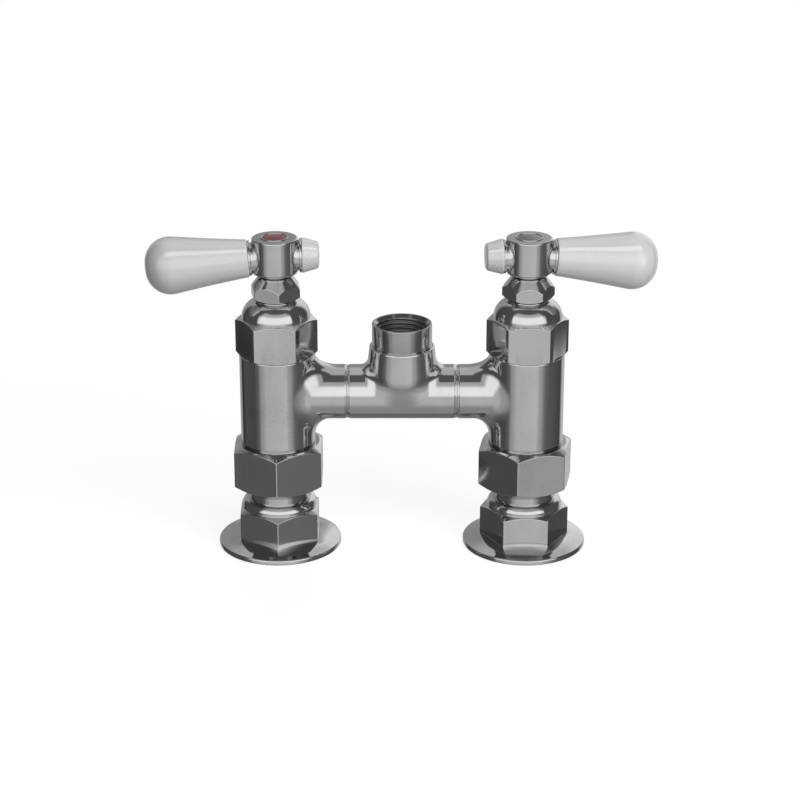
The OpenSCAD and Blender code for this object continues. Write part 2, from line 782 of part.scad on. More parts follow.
// Short tapered porcelain stub opposite the lever
module lever_stub() {
    root_r = stub_root_d / 2;
    tip_r = stub_tip_d / 2;
    shoulder = [tip_r - stub_round, stub_l - stub_round];
    touch = touch_point([root_r, arm_l + bevel], shoulder, stub_round - crease);
    color(PORCELAIN) along_stub() difference() {
        rotate_extrude() union() {
            polygon([[0, arm_l], [root_r - bevel, arm_l], [root_r, arm_l + bevel], touch, shoulder,
                [shoulder[0], stub_l], [0, stub_l]]);
            translate(shoulder) circle(r = stub_round);
        }
        rod(stud_d / 2 + slip_gap, arm_l - over, stub_stud_end);
    }
}

// Pan-head screw that holds the hub down on the stem, with a cross-cut slot
module handle_screw() {
    head_r = screw_head_d / 2;
    color(STEEL) difference() {
        union() {
            rod(screw_d / 2, screw_head_z - screw_l, screw_head_z + over);
            rotate_extrude() polygon([[0, screw_head_z], [head_r, screw_head_z],
                [head_r, screw_head_z + screw_head_h - 0.8],
                [head_r - 0.8, screw_head_z + screw_head_h], [0, screw_head_z + screw_head_h]]);
        }
        for (a = [0, 90]) rotate([0, 0, a])
            translate([-head_r * 0.55, -0.5, screw_head_z + screw_head_h - 1.2])
            cube([head_r * 1.1, 1, 2]);
    }
}

// Crowned index button that snaps into the top of the hub
module index_button(side) {
    r = button_d / 2;
    crown_r = (r * r + button_crown * button_crown) / (2 * button_crown);
    color(side < 0 ? HOT_RED : COLD_GREY) intersection() {
        rod(r, button_z, hub_top + button_crown);
        translate([0, 0, hub_top + button_crown - crown_r]) sphere(r = crown_r);
    }
}

body_casting();
on_column(HOT) deck_gasket();  // hot_deck_gasket
on_column(COLD) deck_gasket();  // cold_deck_gasket
on_column(HOT) flanged_inlet(HOT);  // hot_flanged_inlet
on_column(COLD) flanged_inlet(COLD);  // cold_flanged_inlet
on_column(HOT) union_tail();  // hot_union_tail
on_column(COLD) union_tail();  // cold_union_tail
on_column(HOT) coupling_nut(HOT);  // hot_coupling_nut
on_column(COLD) coupling_nut(COLD);  // cold_coupling_nut
on_column(HOT) coupling_washer();  // hot_coupling_washer
on_column(COLD) coupling_washer();  // cold_coupling_washer
on_column(HOT) seat_seal();  // hot_seat_seal
on_column(COLD) seat_seal();  // cold_seat_seal
on_column(HOT) cartridge_body();  // hot_cartridge_body
on_column(COLD) cartridge_body();  // cold_cartridge_body
on_column(HOT) fixed_disc();  // hot_fixed_disc
on_column(COLD) fixed_disc();  // cold_fixed_disc
on_column(HOT) moving_disc();  // hot_moving_disc
on_column(COLD) moving_disc();  // cold_moving_disc
on_column(HOT) stem(HOT);  // hot_stem
on_column(COLD) stem(COLD);  // cold_stem
on_column(HOT) stem_o_ring();  // hot_stem_o_ring
on_column(COLD) stem_o_ring();  // cold_stem_o_ring
on_column(HOT) bonnet_gasket();  // hot_bonnet_gasket
on_column(COLD) bonnet_gasket();  // cold_bonnet_gasket
on_column(HOT) bonnet(HOT);  // hot_bonnet
on_column(COLD) bonnet(COLD);  // cold_bonnet
on_column(HOT) packing();  // hot_packing
on_column(COLD) packing();  // cold_packing
on_column(HOT) packing_nut(HOT);  // hot_packing_nut
on_column(COLD) packing_nut(COLD);  // cold_packing_nut
on_column(HOT) at_rest(HOT) handle_hub();  // hot_handle_hub
on_column(COLD) at_rest(COLD) handle_hub();  // cold_handle_hub
on_column(HOT) at_rest(HOT) lever_stud();  // hot_lever_stud
on_column(COLD) at_rest(COLD) lever_stud();  // cold_lever_stud
on_column(HOT) at_rest(HOT) lever_grip();  // hot_lever_grip
on_column(COLD) at_rest(COLD) lever_grip();  // cold_lever_grip
on_column(HOT) at_rest(HOT) stub_stud();  // hot_stub_stud
on_column(COLD) at_rest(COLD) stub_stud();  // cold_stub_stud
on_column(HOT) at_rest(HOT) lever_stub();  // hot_lever_stub
on_column(COLD) at_rest(COLD) lever_stub();  // cold_lever_stub
on_column(HOT) handle_screw();  // hot_handle_screw
on_column(COLD) handle_screw();  // cold_handle_screw
on_column(HOT) index_button(HOT);  // hot_index_button
on_column(COLD) index_button(COLD);  // cold_index_button
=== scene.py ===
"""Bridge faucet with two porcelain levers: its visible pieces, their finishes and a plain studio,
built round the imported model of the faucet. Laid out as an add-on and run as a script."""

import json
import math
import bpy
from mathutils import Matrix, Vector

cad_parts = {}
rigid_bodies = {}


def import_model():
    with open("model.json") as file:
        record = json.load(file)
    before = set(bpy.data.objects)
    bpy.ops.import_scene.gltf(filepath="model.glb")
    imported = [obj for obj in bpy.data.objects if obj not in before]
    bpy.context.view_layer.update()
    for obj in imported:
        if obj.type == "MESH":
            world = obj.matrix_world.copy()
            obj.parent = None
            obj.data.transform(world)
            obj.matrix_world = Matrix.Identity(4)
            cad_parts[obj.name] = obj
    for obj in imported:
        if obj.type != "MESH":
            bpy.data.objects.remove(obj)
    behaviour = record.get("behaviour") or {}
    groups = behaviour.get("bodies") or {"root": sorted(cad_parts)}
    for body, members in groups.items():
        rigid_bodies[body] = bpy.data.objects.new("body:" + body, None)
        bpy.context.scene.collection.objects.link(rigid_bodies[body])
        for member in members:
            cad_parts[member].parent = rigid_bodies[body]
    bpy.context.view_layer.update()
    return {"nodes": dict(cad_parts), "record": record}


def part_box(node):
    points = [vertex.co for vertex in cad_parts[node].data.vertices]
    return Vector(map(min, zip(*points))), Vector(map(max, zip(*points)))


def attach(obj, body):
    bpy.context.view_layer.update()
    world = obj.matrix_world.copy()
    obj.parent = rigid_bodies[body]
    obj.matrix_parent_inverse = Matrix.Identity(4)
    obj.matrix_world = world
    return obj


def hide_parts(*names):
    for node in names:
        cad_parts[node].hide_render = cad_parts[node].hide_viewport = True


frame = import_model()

from types import SimpleNamespace

import bmesh
import bpy
import numpy as np
from bpy.props import FloatProperty, FloatVectorProperty, IntProperty, PointerProperty
from mathutils import Matrix, Vector

bl_info = {
    "name": "Bridge Faucet",
    "version": (1, 0, 0),
    "blender": (4, 5, 0),
    "location": "View3D > Sidebar > Faucet",
    "description": "Builds the visible pieces, the finishes and the studio of a bridge faucet",
    "category": "Add Mesh",
}

STEM_LOW, STEM_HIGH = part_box("cold_stem")
MM = 0.001
HOT, COLD = -1, 1
SIDES = (("hot", HOT), ("cold", COLD))
HALF_FACE = math.pi / 6
CHAMFER = math.tan(HALF_FACE)

# Sizes of the solids in millimetres, measured from the deck and from each piece's own axis
D = SimpleNamespace(
    half_centres=STEM_LOW.x / MM + (STEM_HIGH - STEM_LOW).x / 2 / MM,
    rest_turn={HOT: math.radians(-4), COLD: math.radians(5)},
    flange_r=25.4, flange_edge=2, dish_foot_r=16.5, dish_top=4.2,
    inlet_r=15.9, inlet_hex_top=17, inlet_brow_r=15.4, inlet_top=20.8, inlet_mouth_r=10.1, neck_r=12.3,
    thread_r=9.3, thread_depth=13, tail_r=6.2, gasket_in_r=13.8, gasket_out_r=21.8, gasket_depth=1.3,
    coupling_r=17.8, coupling_foot_r=13.5, coupling_brow_r=16.9, coupling_z=24.2, coupling_top=45.2,
    coupling_foot_slope=math.tan(math.radians(32)), lip_r=12.4, lip_top=26.7, coupling_bore_r=14.5,
    column_r=15.3, column_z=45.8, column_top=83.6, spigot_r=14.4, spigot_z=31.7,
    bridge_r=11.15, bridge_z=66.8, bridge_bore_r=6.55, seat_r=5.8, seat_z=54.98, chamber_r=11,
    bonnet_thread_r=12.4, bonnet_thread_z=75, gasket_r=13.85, gasket_z=82.6,
    outlet_base_z=76.95, outlet_base_r=14.3, outlet_step_r=13.2, outlet_step_z=86.8, outlet_r=12.2,
    outlet_top=96.3, outlet_thread_z=84.3, outlet_thread_r=10.1, outlet_mouth_r=10.15, outlet_bore_r=10.2,
    outlet_lining_r=10.25, outlet_sleeve_r=10.3, outlet_lip_r=11.3,
    # Hollow fillets of the casting: above, below and beside the bridge, and round the outlet
    fillet_reach=(10, 7, 2.4), fillet_rise=(5.3, 7, 2.4), outlet_fillet=3.2,
    # Seams of the bridge: place, and height and radius of the two round cuts that shape each
    seam_x=22.3, seam_cuts=((1.6, 1.88), (-0.24, 0.17)),
    bonnet_r=14.5, bonnet_foot_r=15.4, bonnet_brow_r=14, bonnet_brow_z=99.18, skirt_z=75.4, skirt_r=12.3,
    skirt_in_r=10.2, skirt_top=82.8, dome_z=99, dome_r=7.9, dome_top=106.9, dome_top_r=8.56,
    gland_r=6.66, gland_z=100.6, stem_hole_r=4.7,
    packing_r=9.26, packing_foot_r=8.56, packing_brow_r=6.8, packing_z=107.1, packing_top=116.5,
    packing_gland_z=104.4, packing_gland_r=6.56, packing_hole_r=4.46, packing_slope=1.335,
    hub_r=9.3, hub_z=116.9, hub_top=132.3, hub_foot_r=7.1, hub_foot_z=118, lever_z=124.7,
    lever_arm_r=7.1, stub_arm_r=6.9, arm_waist=0.9, ferrule_l=1, arm_l=10.7, hub_fillet=0.7, broach_r=4,
    broach_top=125.7,
    screw_hole_r=2.2, screw_head_r=3.9, screw_head_z=127.3, button_hole_r=5.7, button_z=130.7, button_r=5.6,
    button_top=132.9, droop=math.radians(4.3), stud_hole_r=2.8, stud_from=5.2, lever_stud_end=22.7,
    stub_stud_end=14.8, lever_root_r=7.6, lever_end_r=10, lever_end_centre=(1.6, 41.83), lever_l=51.8,
    stub_root_r=7.1, stub_tip_r=5.2, stub_l=17.8, stub_round=1.4,
)


# Sizes and colours that a user would change

def measure(name, what, value, low, high):
    """A small measure that a user may change."""
    return FloatProperty(name=name, description=what + ", in millimetres", default=value, min=low, max=high)


def paint(name, what, value):
    """A colour that a user may change."""
    return FloatVectorProperty(name=name, description="Colour of the " + what, default=value, min=0, max=1,
                               subtype="COLOR")


class FaucetSizes(bpy.types.PropertyGroup):
    """Small shapes that the makers of such a faucet choose."""
    hex_corner: measure("Hexagon corners", "Rounding of the upright corners", 0.45, 0.1, 1.5)
    worked_edge: measure("Worked edges", "Rounding of turned edges", 0.35, 0.1, 0.8)
    casting_step: measure("Casting mesh step", "Mesh size of the body casting", 0.62, 0.4, 1.5)
    hub_step: measure("Hub mesh step", "Mesh size of the handle hubs", 0.36, 0.2, 0.8)
    thread_pitch: measure("Thread pitch", "Pitch of the pipe threads", 1.814, 1.0, 3.0)
    thread_depth: measure("Thread depth", "Depth of the pipe threads", 0.85, 0.3, 1.2)
    round_steps: IntProperty(
        name="Round steps", description="Flat steps round a turned piece", default=120, min=48, max=256)


class FaucetFinishes(bpy.types.PropertyGroup):
    """Colours of the finishes."""
    chrome: paint("Chrome", "polished chrome plate", (0.63, 0.62, 0.62))
    porcelain: paint("Porcelain", "glazed levers and stubs", (0.74, 0.74, 0.74))
    brass: paint("Brass", "turned brass inside", (0.78, 0.62, 0.34))
    steel: paint("Steel", "handle screws", (0.56, 0.57, 0.58))
    white_ceramic: paint("White ceramic", "fixed discs", (0.86, 0.85, 0.81))
    grey_ceramic: paint("Grey ceramic", "moving discs", (0.34, 0.35, 0.37))
    rubber: paint("Rubber", "seals", (0.03, 0.03, 0.032))
    fibre: paint("Fibre", "pressed fibre washers", (0.36, 0.12, 0.07))
    hot_enamel: paint("Hot enamel", "hot index button", (0.27, 0.035, 0.035))
    cold_enamel: paint("Cold enamel", "cold index button", (0.19, 0.17, 0.17))


class FaucetStudio(bpy.types.PropertyGroup):
    """Camera, lamps and surroundings."""
    camera_elevation: FloatProperty(
        name="Camera elevation", description="Height of the camera over the horizon",
        default=math.radians(21.2), subtype="ANGLE")
    camera_distance: FloatProperty(
        name="Camera distance", description="Distance from the camera to its target",
        default=0.9356, unit="LENGTH")
    camera_target: FloatVectorProperty(
        name="Camera target", description="Point at the middle of the picture",
        default=(-0.0008, 0, 0.0629), subtype="TRANSLATION", unit="LENGTH")
    camera_lens: FloatProperty(
        name="Camera lens", description="Focal length on a 36 mm sensor", default=102.9, unit="CAMERA")
    lamp_power: FloatProperty(
        name="Lamp power", description="Power that the soft lamps share", default=2.5, min=0, unit="POWER")
    strip_power: FloatProperty(
        name="Strip power", description="Power of the strip lamp over the levers", default=1.9, min=0,
        unit="POWER")
    surround_share: FloatProperty(
        name="Surround share", description="Share of the surroundings' light on matt pieces",
        default=0.6, min=0, max=1, subtype="FACTOR")
    floor_tone: FloatProperty(
        name="Floor tone", description="Brightness of the floor's own colour", default=0.5, min=0, max=1)
    floor_glow: FloatProperty(
        name="Floor glow", description="Plain white that the camera sees added to the floor",
        default=0.77, min=0, max=1)


# Meshes

def ticks(low, high, step, *fine):
    """Grid marks from low to high, closer together in the fine zones (middle, half width, step)."""
    marks = [low]
    while marks[-1] < high:
        here = marks[-1]
        finer = [close for middle, half, close in fine if middle - half - close < here < middle + half]
        marks.append(here + min([step] + finer))
    return np.array(marks)


def gradient(field, points, h=0.01):
    """Slope of a field of distances at each point."""
    slope = np.empty_like(points)
    for axis, shift in enumerate(h * np.eye(3)):
        slope[:, axis] = (field(*(points + shift).T) - field(*(points - shift).T)) / (2 * h)
    return slope


def lengths(rows):
    """Length of each row of vectors, never quite zero."""
    return np.maximum(np.linalg.norm(rows, axis=1), 1e-9)[:, None]


def skin(field, *axes):
    """Points, quads and normals of the surface where a field of distances is zero, on a grid of ticks."""
    value = field(*np.meshgrid(*axes, indexing="ij"))
    inside = value < 0
    boxes = tuple(len(a) - 1 for a in axes)
    count = np.zeros(math.prod(boxes))
    total = np.zeros((len(count), 3))
    rims = []
    for axis in range(3):
        index = np.argwhere(np.diff(inside, axis=axis))
        ahead = index + np.eye(3, dtype=int)[axis]
        start, end = value[tuple(index.T)], value[tuple(ahead.T)]
        spot = np.stack([axes[k][index[:, k]] for k in range(3)], 1)
        spot[:, axis] += start / (start - end) * np.diff(axes[axis])[index[:, axis]]
        a, b = [k for k in range(3) if k != axis]
        ring = []
        for da, db in ((0, 0), (-1, 0), (-1, -1), (0, -1)):
            box = index.copy()
            box[:, a] += da
            box[:, b] += db
            flat = np.ravel_multi_index(box.T, boxes)
            np.add.at(count, flat, 1)
            np.add.at(total, flat, spot)
            ring.append(flat)
        quads = np.stack(ring, 1)
        turned_over = (start < 0) == (axis == 1)
        quads[turned_over] = quads[turned_over][:, ::-1]
        rims.append(quads)
    used = np.flatnonzero(count)
    number = np.zeros(len(count), int)
    number[used] = np.arange(len(used))
    points = total[used] / count[used, None]
    rough, furthest, longest_step, pull_back = points.copy(), 0.6 * np.median(np.diff(axes[0])), 0.3, 0.02
    for _ in range(5):
        slope = gradient(field, points)
        step = slope * (field(*points.T) / np.maximum((slope ** 2).sum(1), 1e-6))[:, None]
        points -= step * np.minimum(1, longest_step / lengths(step))
        drift = points - rough
        points = rough + drift / np.maximum(lengths(drift) / furthest, 1)
    points += pull_back * (rough - points)
    normals = gradient(field, points)
    return points, number[np.concatenate(rims)], normals / lengths(normals)


def bar(r, z, radius, low, high, edge):
    """Distance to an upright round bar with rounded rims."""
    q, p = r - radius + edge, np.abs(z - (low + high) / 2) - (high - low) / 2 + edge
    return np.hypot(np.maximum(q, 0), np.maximum(p, 0)) + np.minimum(np.maximum(q, p), 0) - edge


def both(a, b, edge):
    """Distance to what two solids share, with the edge where they meet rounded."""
    rim = np.hypot(np.maximum(a + edge, 0), np.maximum(b + edge, 0)) - edge
    return np.where((a > -edge) & (b > -edge), rim, np.maximum(a, b))


def filleted(a, b, reach, rise):
    """Distance to two solids joined by a hollow curve, so long along b and so high up a."""
    u, v = np.maximum(1 - a / reach, 0), np.maximum(1 - b / rise, 0)
    return np.where((u > 0) & (v > 0), (1 - np.hypot(u, v)) * np.minimum(reach, rise), np.minimum(a, b))


def bored(solid, *bores):
    """Distance to a solid with bores cut out: distance from the axis, radius, distance past the end."""
    for r, bore_r, past in bores:
        solid = np.maximum(solid, -np.maximum(r - bore_r, past))
    return solid


def hexagon(flat_r, clock, corner):
    """Directions round a hexagon with rounded corners, and its radius in each."""
    face_steps, bend_steps = 13, 9
    centre = (flat_r - corner) / math.cos(HALF_FACE)
    turn = math.atan((flat_r - corner) * math.tan(HALF_FACE) / flat_r)
    face = np.linspace(-turn, turn, face_steps)
    bend = np.linspace(turn, 2 * HALF_FACE - turn, bend_steps)[1:-1]
    off = HALF_FACE - bend
    face_r = flat_r / np.cos(face)
    bend_r = centre * np.cos(off) + np.sqrt(corner ** 2 - (centre * np.sin(off)) ** 2)
    side = np.concatenate([face, bend]) + math.radians(clock)
    angles = np.concatenate([side + HALF_FACE * (1 + 2 * k) for k in range(6)])
    return angles, np.tile(np.concatenate([face_r, bend_r]), 6)


def around():
    """Directions round a turned piece."""
    return np.linspace(0, 2 * math.pi, bpy.context.scene.faucet_sizes.round_steps, endpoint=False)


def outline(angles, corners, closed, steps):
    """Section in every direction, from corners (radius, height, rounding) that may vary round the piece."""
    sharpest, widest = 2.6, 0.45
    level = np.zeros(len(angles))
    points = np.stack([np.stack([r + level, z + level], 1) for r, z, _ in corners], 1)
    made = []
    for k, (_, _, rounding) in enumerate(corners):
        here = points[:, k]
        if not rounding or (not closed and k in (0, len(corners) - 1)):
            made.append(here[:, None])
            continue
        before, after = points[:, k - 1] - here, points[:, (k + 1) % len(corners)] - here
        room = widest * np.minimum(lengths(after), lengths(before))
        before, after = before / lengths(before), after / lengths(after)
        bend = math.pi - np.arccos(np.clip((before * after).sum(1), -1, 1))[:, None]
        trim = np.minimum(rounding * np.tan(np.minimum(bend, sharpest) / 2), room)
        t = np.linspace(0, 1, steps + 1)[None, :, None]
        made.append((1 - t) ** 2 * (here + before * trim)[:, None] + 2 * t * (1 - t) * here[:, None]
                    + t ** 2 * (here + after * trim)[:, None])
    return np.concatenate(made, 1)


def arc(centre, radius, start, end, count):
    """Corners along an arc of a section, angles in degrees from straight out."""
    return [(centre[0] + radius * math.cos(a), centre[1] + radius * math.sin(a), 0)
            for a in map(math.radians, np.linspace(start, end, count))]


def thread(angles, radius, start, end):
    """Corners down a female thread, with ridges that fade at both ends."""
    rows, rows_a_turn, sizes = [], 8, bpy.context.scene.faucet_sizes
    depth, pitch = sizes.thread_depth, sizes.thread_pitch
    for z in np.arange(start, end, -pitch / rows_a_turn):
        phase = (z / pitch - angles / (2 * math.pi)) % 1
        ridge = np.clip(2.2 * np.abs(2 * phase - 1) - 0.6, 0, 1)
        fade = min(1, abs(z - start) / pitch, abs(z - end) / pitch)
        rows.append((radius - depth * fade * ridge * ridge * (3 - 2 * ridge), z, 0))
    return rows


def turned(angles, corners, closed=True, steps=4):
    """Points and quads of a section carried round its axis."""
    section = outline(angles, corners, closed, steps)
    turns, count = section.shape[:2]
    radius, height = section[..., 0], section[..., 1]
    points = np.stack([radius * np.cos(angles)[:, None], radius * np.sin(angles)[:, None], height], 2)
    points = points.reshape(-1, 3)
    i, k = np.meshgrid(np.arange(turns), np.arange(count if closed else count - 1), indexing="ij")
    j, m = (i + 1) % turns, (k + 1) % count
    return points, np.stack([i * count + k, j * count + k, j * count + m, i * count + m], 2).reshape(-1, 4)


def on_column(side, turn=0.0, local=Matrix()):
    """Place on the right-hand column, or mirrored onto the left-hand one, in metres."""
    return (Matrix.Diagonal((side, 1, 1, 1)) @ Matrix.Translation((D.half_centres * MM, 0, 0))
            @ Matrix.Rotation(turn, 4, "Z") @ local)


def arm(tilt):
    """Place of a piece that points out of the hub, on its own handle."""
    return Matrix.Translation((0, 0, D.lever_z * MM)) @ Matrix.Rotation(tilt, 4, "Y")


def put(name, data):
    """A new object in the scene."""
    made = bpy.data.objects.new(name, data)
    bpy.context.scene.collection.objects.link(made)
    return made


def piece(name, mesh_data, place=Matrix(), body="faucet_body", slot="polished_chrome", replaced=(),
          finish_name=None):
    """A mesh piece in its finish, riding on its body and standing for its solids."""
    points, quads, *normals = mesh_data
    matrix = np.array(place)
    points = points * MM @ matrix[:3, :3].T + matrix[:3, 3]
    if np.linalg.det(matrix[:3, :3]) < 0:
        quads = quads[:, ::-1]
    mesh = bpy.data.meshes.new(name)
    mesh.from_pydata(points.tolist(), [], quads.tolist())
    made = put(name, mesh)
    if normals:
        mesh.shade_smooth()
        mesh.normals_split_custom_set_from_vertices((normals[0] @ matrix[:3, :3].T).tolist())
    else:
        work = bmesh.new()
        work.from_mesh(mesh)
        bmesh.ops.remove_doubles(work, verts=work.verts, dist=1e-6)
        bmesh.ops.recalc_face_normals(work, faces=work.faces)
        work.to_mesh(mesh)
        work.free()
        mesh.shade_smooth()
        weighted = made.modifiers.new("Flats stay flat", "WEIGHTED_NORMAL")
        weighted.weight, weighted.keep_sharp = 60, False
    mesh.materials.append(finish(finish_name or slot))
    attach(made, body)
    if replaced:
        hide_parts(*replaced)


def hexagon_pieces(name, node, flat_r, clocks, corners):
    """A chromed hexagon piece on each column, clocked in degrees, with its section from corners()."""
    for (label, side), clock in zip(SIDES, clocks):
        angles, hex_r = hexagon(flat_r, clock, bpy.context.scene.faucet_sizes.hex_corner)
        piece(f"{label}_{name}", turned(angles, corners(angles, hex_r)), on_column(side),
              replaced=[f"{label}_{node}"])


def handle_pieces(name, node, slot, mesh_data, local=Matrix()):
    """The same piece on each handle."""
    for label, side in SIDES:
        place = on_column(side, D.rest_turn[side], local)
        piece(f"{label}_{name}", mesh_data, place, f"{label}_handle", slot, [f"{label}_{node}"])


# Finishes

def fill(tree, node, inputs):
    """Sets a node's inputs to values, or joins them to sockets or nodes; _0 is its first input."""
    for key, value in inputs.items():
        socket = node.inputs[int(key[1:]) if key[1:].isdigit() else key.replace("_", " ")]
        if isinstance(value, bpy.types.Node):
            value = value.outputs[0]
        if isinstance(value, bpy.types.NodeSocket):
            tree.links.new(value, socket)
        else:
            socket.default_value = value
    return node


def add(tree, kind, **values):
    """A shader node; names in small letters are its settings, the others its inputs."""
    made = tree.nodes.new("ShaderNode" + kind)
    inputs = {key: value for key, value in values.items() if not key[0].islower()}
    for key in values.keys() - inputs.keys():
        setattr(made, key, values[key])
    return fill(tree, made, inputs)


def maths(tree, operation, *values):
    """The result of a sum on sockets or numbers."""
    return add(tree, "Math", operation=operation, **{f"_{k}": v for k, v in enumerate(values)}).outputs[0]


def times(tree, value, factor):
    """A product of sockets or numbers."""
    return maths(tree, "MULTIPLY", value, factor)


def blend(tree, share, low, high):
    """A mix of two colours."""
    low, high = (end if isinstance(end, bpy.types.NodeSocket) else (*end, 1) for end in (low, high))
    return add(tree, "Mix", data_type="RGBA", _0=share, _6=low, _7=high).outputs[2]


def between(tree, value, low, high, out_low=0.0, out_high=1.0):
    """A value eased from one range to another."""
    return add(tree, "MapRange", interpolation_type="SMOOTHSTEP", Value=value, From_Min=low, From_Max=high,
               To_Min=out_low, To_Max=out_high).outputs[0]


def noise(tree, where, scale, detail=3.0, roughness=0.5, distortion=0.0):
    """Noise round 0.5 at so many features a metre."""
    return add(tree, "TexNoise", Vector=where, Scale=scale, Detail=detail, Roughness=roughness,
               Distortion=distortion).outputs["Fac"]


def cells(tree, where, scale, feature="F1"):
    """Distance to the middle or to the edge of scattered cells, so many a metre."""
    return add(tree, "TexVoronoi", feature=feature, Vector=where, Scale=scale).outputs["Distance"]


def effect(name, values, outputs, build):
    """A shared node group of a position and named values, made once."""
    group = bpy.data.node_groups.get(name)
    if group:
        return group
    group = bpy.data.node_groups.new(name, "ShaderNodeTree")
    face = group.interface
    face.new_socket("Position", in_out="INPUT", socket_type="NodeSocketVector")
    for label, value in values.items():
        face.new_socket(label, in_out="INPUT", socket_type="NodeSocketFloat").default_value = value
    for label in outputs:
        face.new_socket(label, in_out="OUTPUT", socket_type="NodeSocketFloat")
    entry, leave = group.nodes.new("NodeGroupInput"), group.nodes.new("NodeGroupOutput")
    for label, result in zip(outputs, build(group, entry.outputs)):
        group.links.new(result, leave.inputs[label])
    return group


def handling_marks():
    """Film of water spots and smudges, hairline scratches, and the slow waves that polishing leaves."""
    def build(tree, given):
        where = given["Position"]
        cloud = noise(tree, where, given["Smudge Scale"], 5, 0.62, 0.6)
        spots = cells(tree, where, 620)
        film = times(tree, between(tree, cloud, 0.42, 0.72), between(tree, spots, 0.5, 0.2, 0.55, 1.0))
        streaks = noise(tree, where, given["Scratch Scale"], 2, 0.5, 1.6)
        lines = maths(tree, "ABSOLUTE", maths(tree, "SUBTRACT", streaks, 0.5))
        patches = between(tree, noise(tree, where, 46, 2), 0.5, 0.66)
        scratches = times(tree, between(tree, lines, 0.006, 0.0), patches)
        return film, scratches, noise(tree, where, given["Wave Scale"], 2, 0.4)
    return effect("Handling marks", {"Smudge Scale": 38, "Scratch Scale": 190, "Wave Scale": 70},
                  ("Film", "Scratches", "Waves"), build)


def edge_wear():
    """Mask of worn edges: where the surface bends outwards, broken up by noise."""
    def build(tree, given):
        bend = add(tree, "NewGeometry").outputs["Pointiness"]
        breakup = noise(tree, given["Position"], given["Breakup Scale"], 4, 0.6)
        raised = between(tree, bend, given["From"], given["To"])
        torn = between(tree, breakup, 0.3, 0.62)
        return [add(tree, "Math", operation="MULTIPLY", use_clamp=True, _0=raised, _1=torn).outputs[0]]
    return effect("Edge wear", {"From": 0.51, "To": 0.57, "Breakup Scale": 240}, ["Wear"], build)


def turning_lines():
    """Fine rings that a lathe leaves round upright pieces."""
    def build(tree, given):
        squeezed = add(tree, "Mapping", Vector=given["Position"], Scale=(0.02, 0.02, 1.0))
        return [noise(tree, squeezed, given["Ring Scale"], 3, 0.7)]
    return effect("Turning lines", {"Ring Scale": 5200}, ["Rings"], build)


def use(tree, group, where, **values):
    """A shared effect placed in a material, with its own values."""
    made = tree.nodes.new("ShaderNodeGroup")
    made.node_tree = group
    return fill(tree, made, {"Position": where, **values}).outputs


def shader(name):
    """A new material's tree, its main shader and the position on the piece."""
    made = bpy.data.materials.new(name)
    made.use_nodes = True
    tree = made.node_tree
    return tree, tree.nodes["Principled BSDF"], add(tree, "TexCoord").outputs["Object"]


def dress(tree, main, colour, rough, height, depth, **values):
    """Joins a finish's colour, roughness and relief to its main shader, and sets its other values."""
    bump = add(tree, "Bump", Distance=depth, Height=height)
    fill(tree, main, {"Base_Color": colour, "Roughness": rough, "Normal": bump, **values})


def shade(colour, factor):
    """A colour made lighter or darker."""
    return tuple(min(1, c * factor) for c in colour)


def chrome_finish(name, colour, wave_scale=70):
    """Polished chrome plate over cast or turned brass: wiped film, hairlines and worn edges."""
    tree, main, where = shader(name)
    marks = use(tree, handling_marks(), where, Wave_Scale=wave_scale)
    wear = use(tree, edge_wear(), where)["Wear"]
    wiped = blend(tree, marks["Film"], colour, shade(colour, 0.86))
    worn = blend(tree, times(tree, wear, 0.5), wiped, shade(colour, 1.1))
    rough = maths(tree, "ADD", maths(tree, "MULTIPLY_ADD", marks["Film"], 0.07, 0.055),
                  maths(tree, "ADD", times(tree, marks["Scratches"], 0.08), times(tree, wear, 0.08)))
    relief = maths(tree, "SUBTRACT", marks["Waves"], times(tree, marks["Scratches"], 0.03))
    dress(tree, main, worn, rough, relief, 0.00004, Metallic=1.0)


def porcelain_finish(name, colour):
    """Glazed porcelain: a cloudy body under a wavy clear glaze, with fine craze lines and a few specks."""
    tree, main, where = shader(name)
    marks = use(tree, handling_marks(), where, Smudge_Scale=60, Wave_Scale=110)
    lines = between(tree, cells(tree, where, 210, "DISTANCE_TO_EDGE"), 0.012, 0.0)
    craze = times(tree, lines, between(tree, noise(tree, where, 60), 0.5, 0.7))
    dots = between(tree, cells(tree, where, 330), 0.10, 0.05)
    specks = times(tree, dots, between(tree, noise(tree, where, 150, 1), 0.6, 0.68))
    cloudy = blend(tree, noise(tree, where, 90), shade(colour, 0.965), shade(colour, 1.03))
    crazed = blend(tree, times(tree, craze, 0.1), cloudy, shade(colour, 0.6))
    speckled = blend(tree, times(tree, specks, 0.5), crazed, (0.34, 0.28, 0.22))
    rough = maths(tree, "ADD", maths(tree, "MULTIPLY_ADD", marks["Film"], 0.10, 0.13),
                  times(tree, marks["Scratches"], 0.12))
    dress(tree, main, speckled, rough, marks["Waves"], 0.00004, Coat_Weight=0.9, Coat_IOR=1.7,
          Coat_Roughness=0.14)


def turned_metal_finish(name, colour, rough_level, plated=None):
    """Bare turned metal: lathe rings, a dull film, worn edges. What stands out of the nuts is plated."""
    tree, main, where = shader(name)
    marks = use(tree, handling_marks(), where, Smudge_Scale=70)
    wear = use(tree, edge_wear(), where)["Wear"]
    rings = use(tree, turning_lines(), where)["Rings"]
    dull = blend(tree, marks["Film"], colour, shade(colour, 0.68))
    worn = blend(tree, wear, dull, shade(colour, 1.2))
    if plated:
        height = add(tree, "SeparateXYZ", Vector=where).outputs["Z"]
        worn = blend(tree, between(tree, height, 0.113, 0.114), worn, plated)
    rough = maths(tree, "ADD", maths(tree, "MULTIPLY_ADD", marks["Film"], 0.16, rough_level),
                  times(tree, rings, 0.1))
    dress(tree, main, worn, rough, rings, 0.00003, Metallic=1.0)


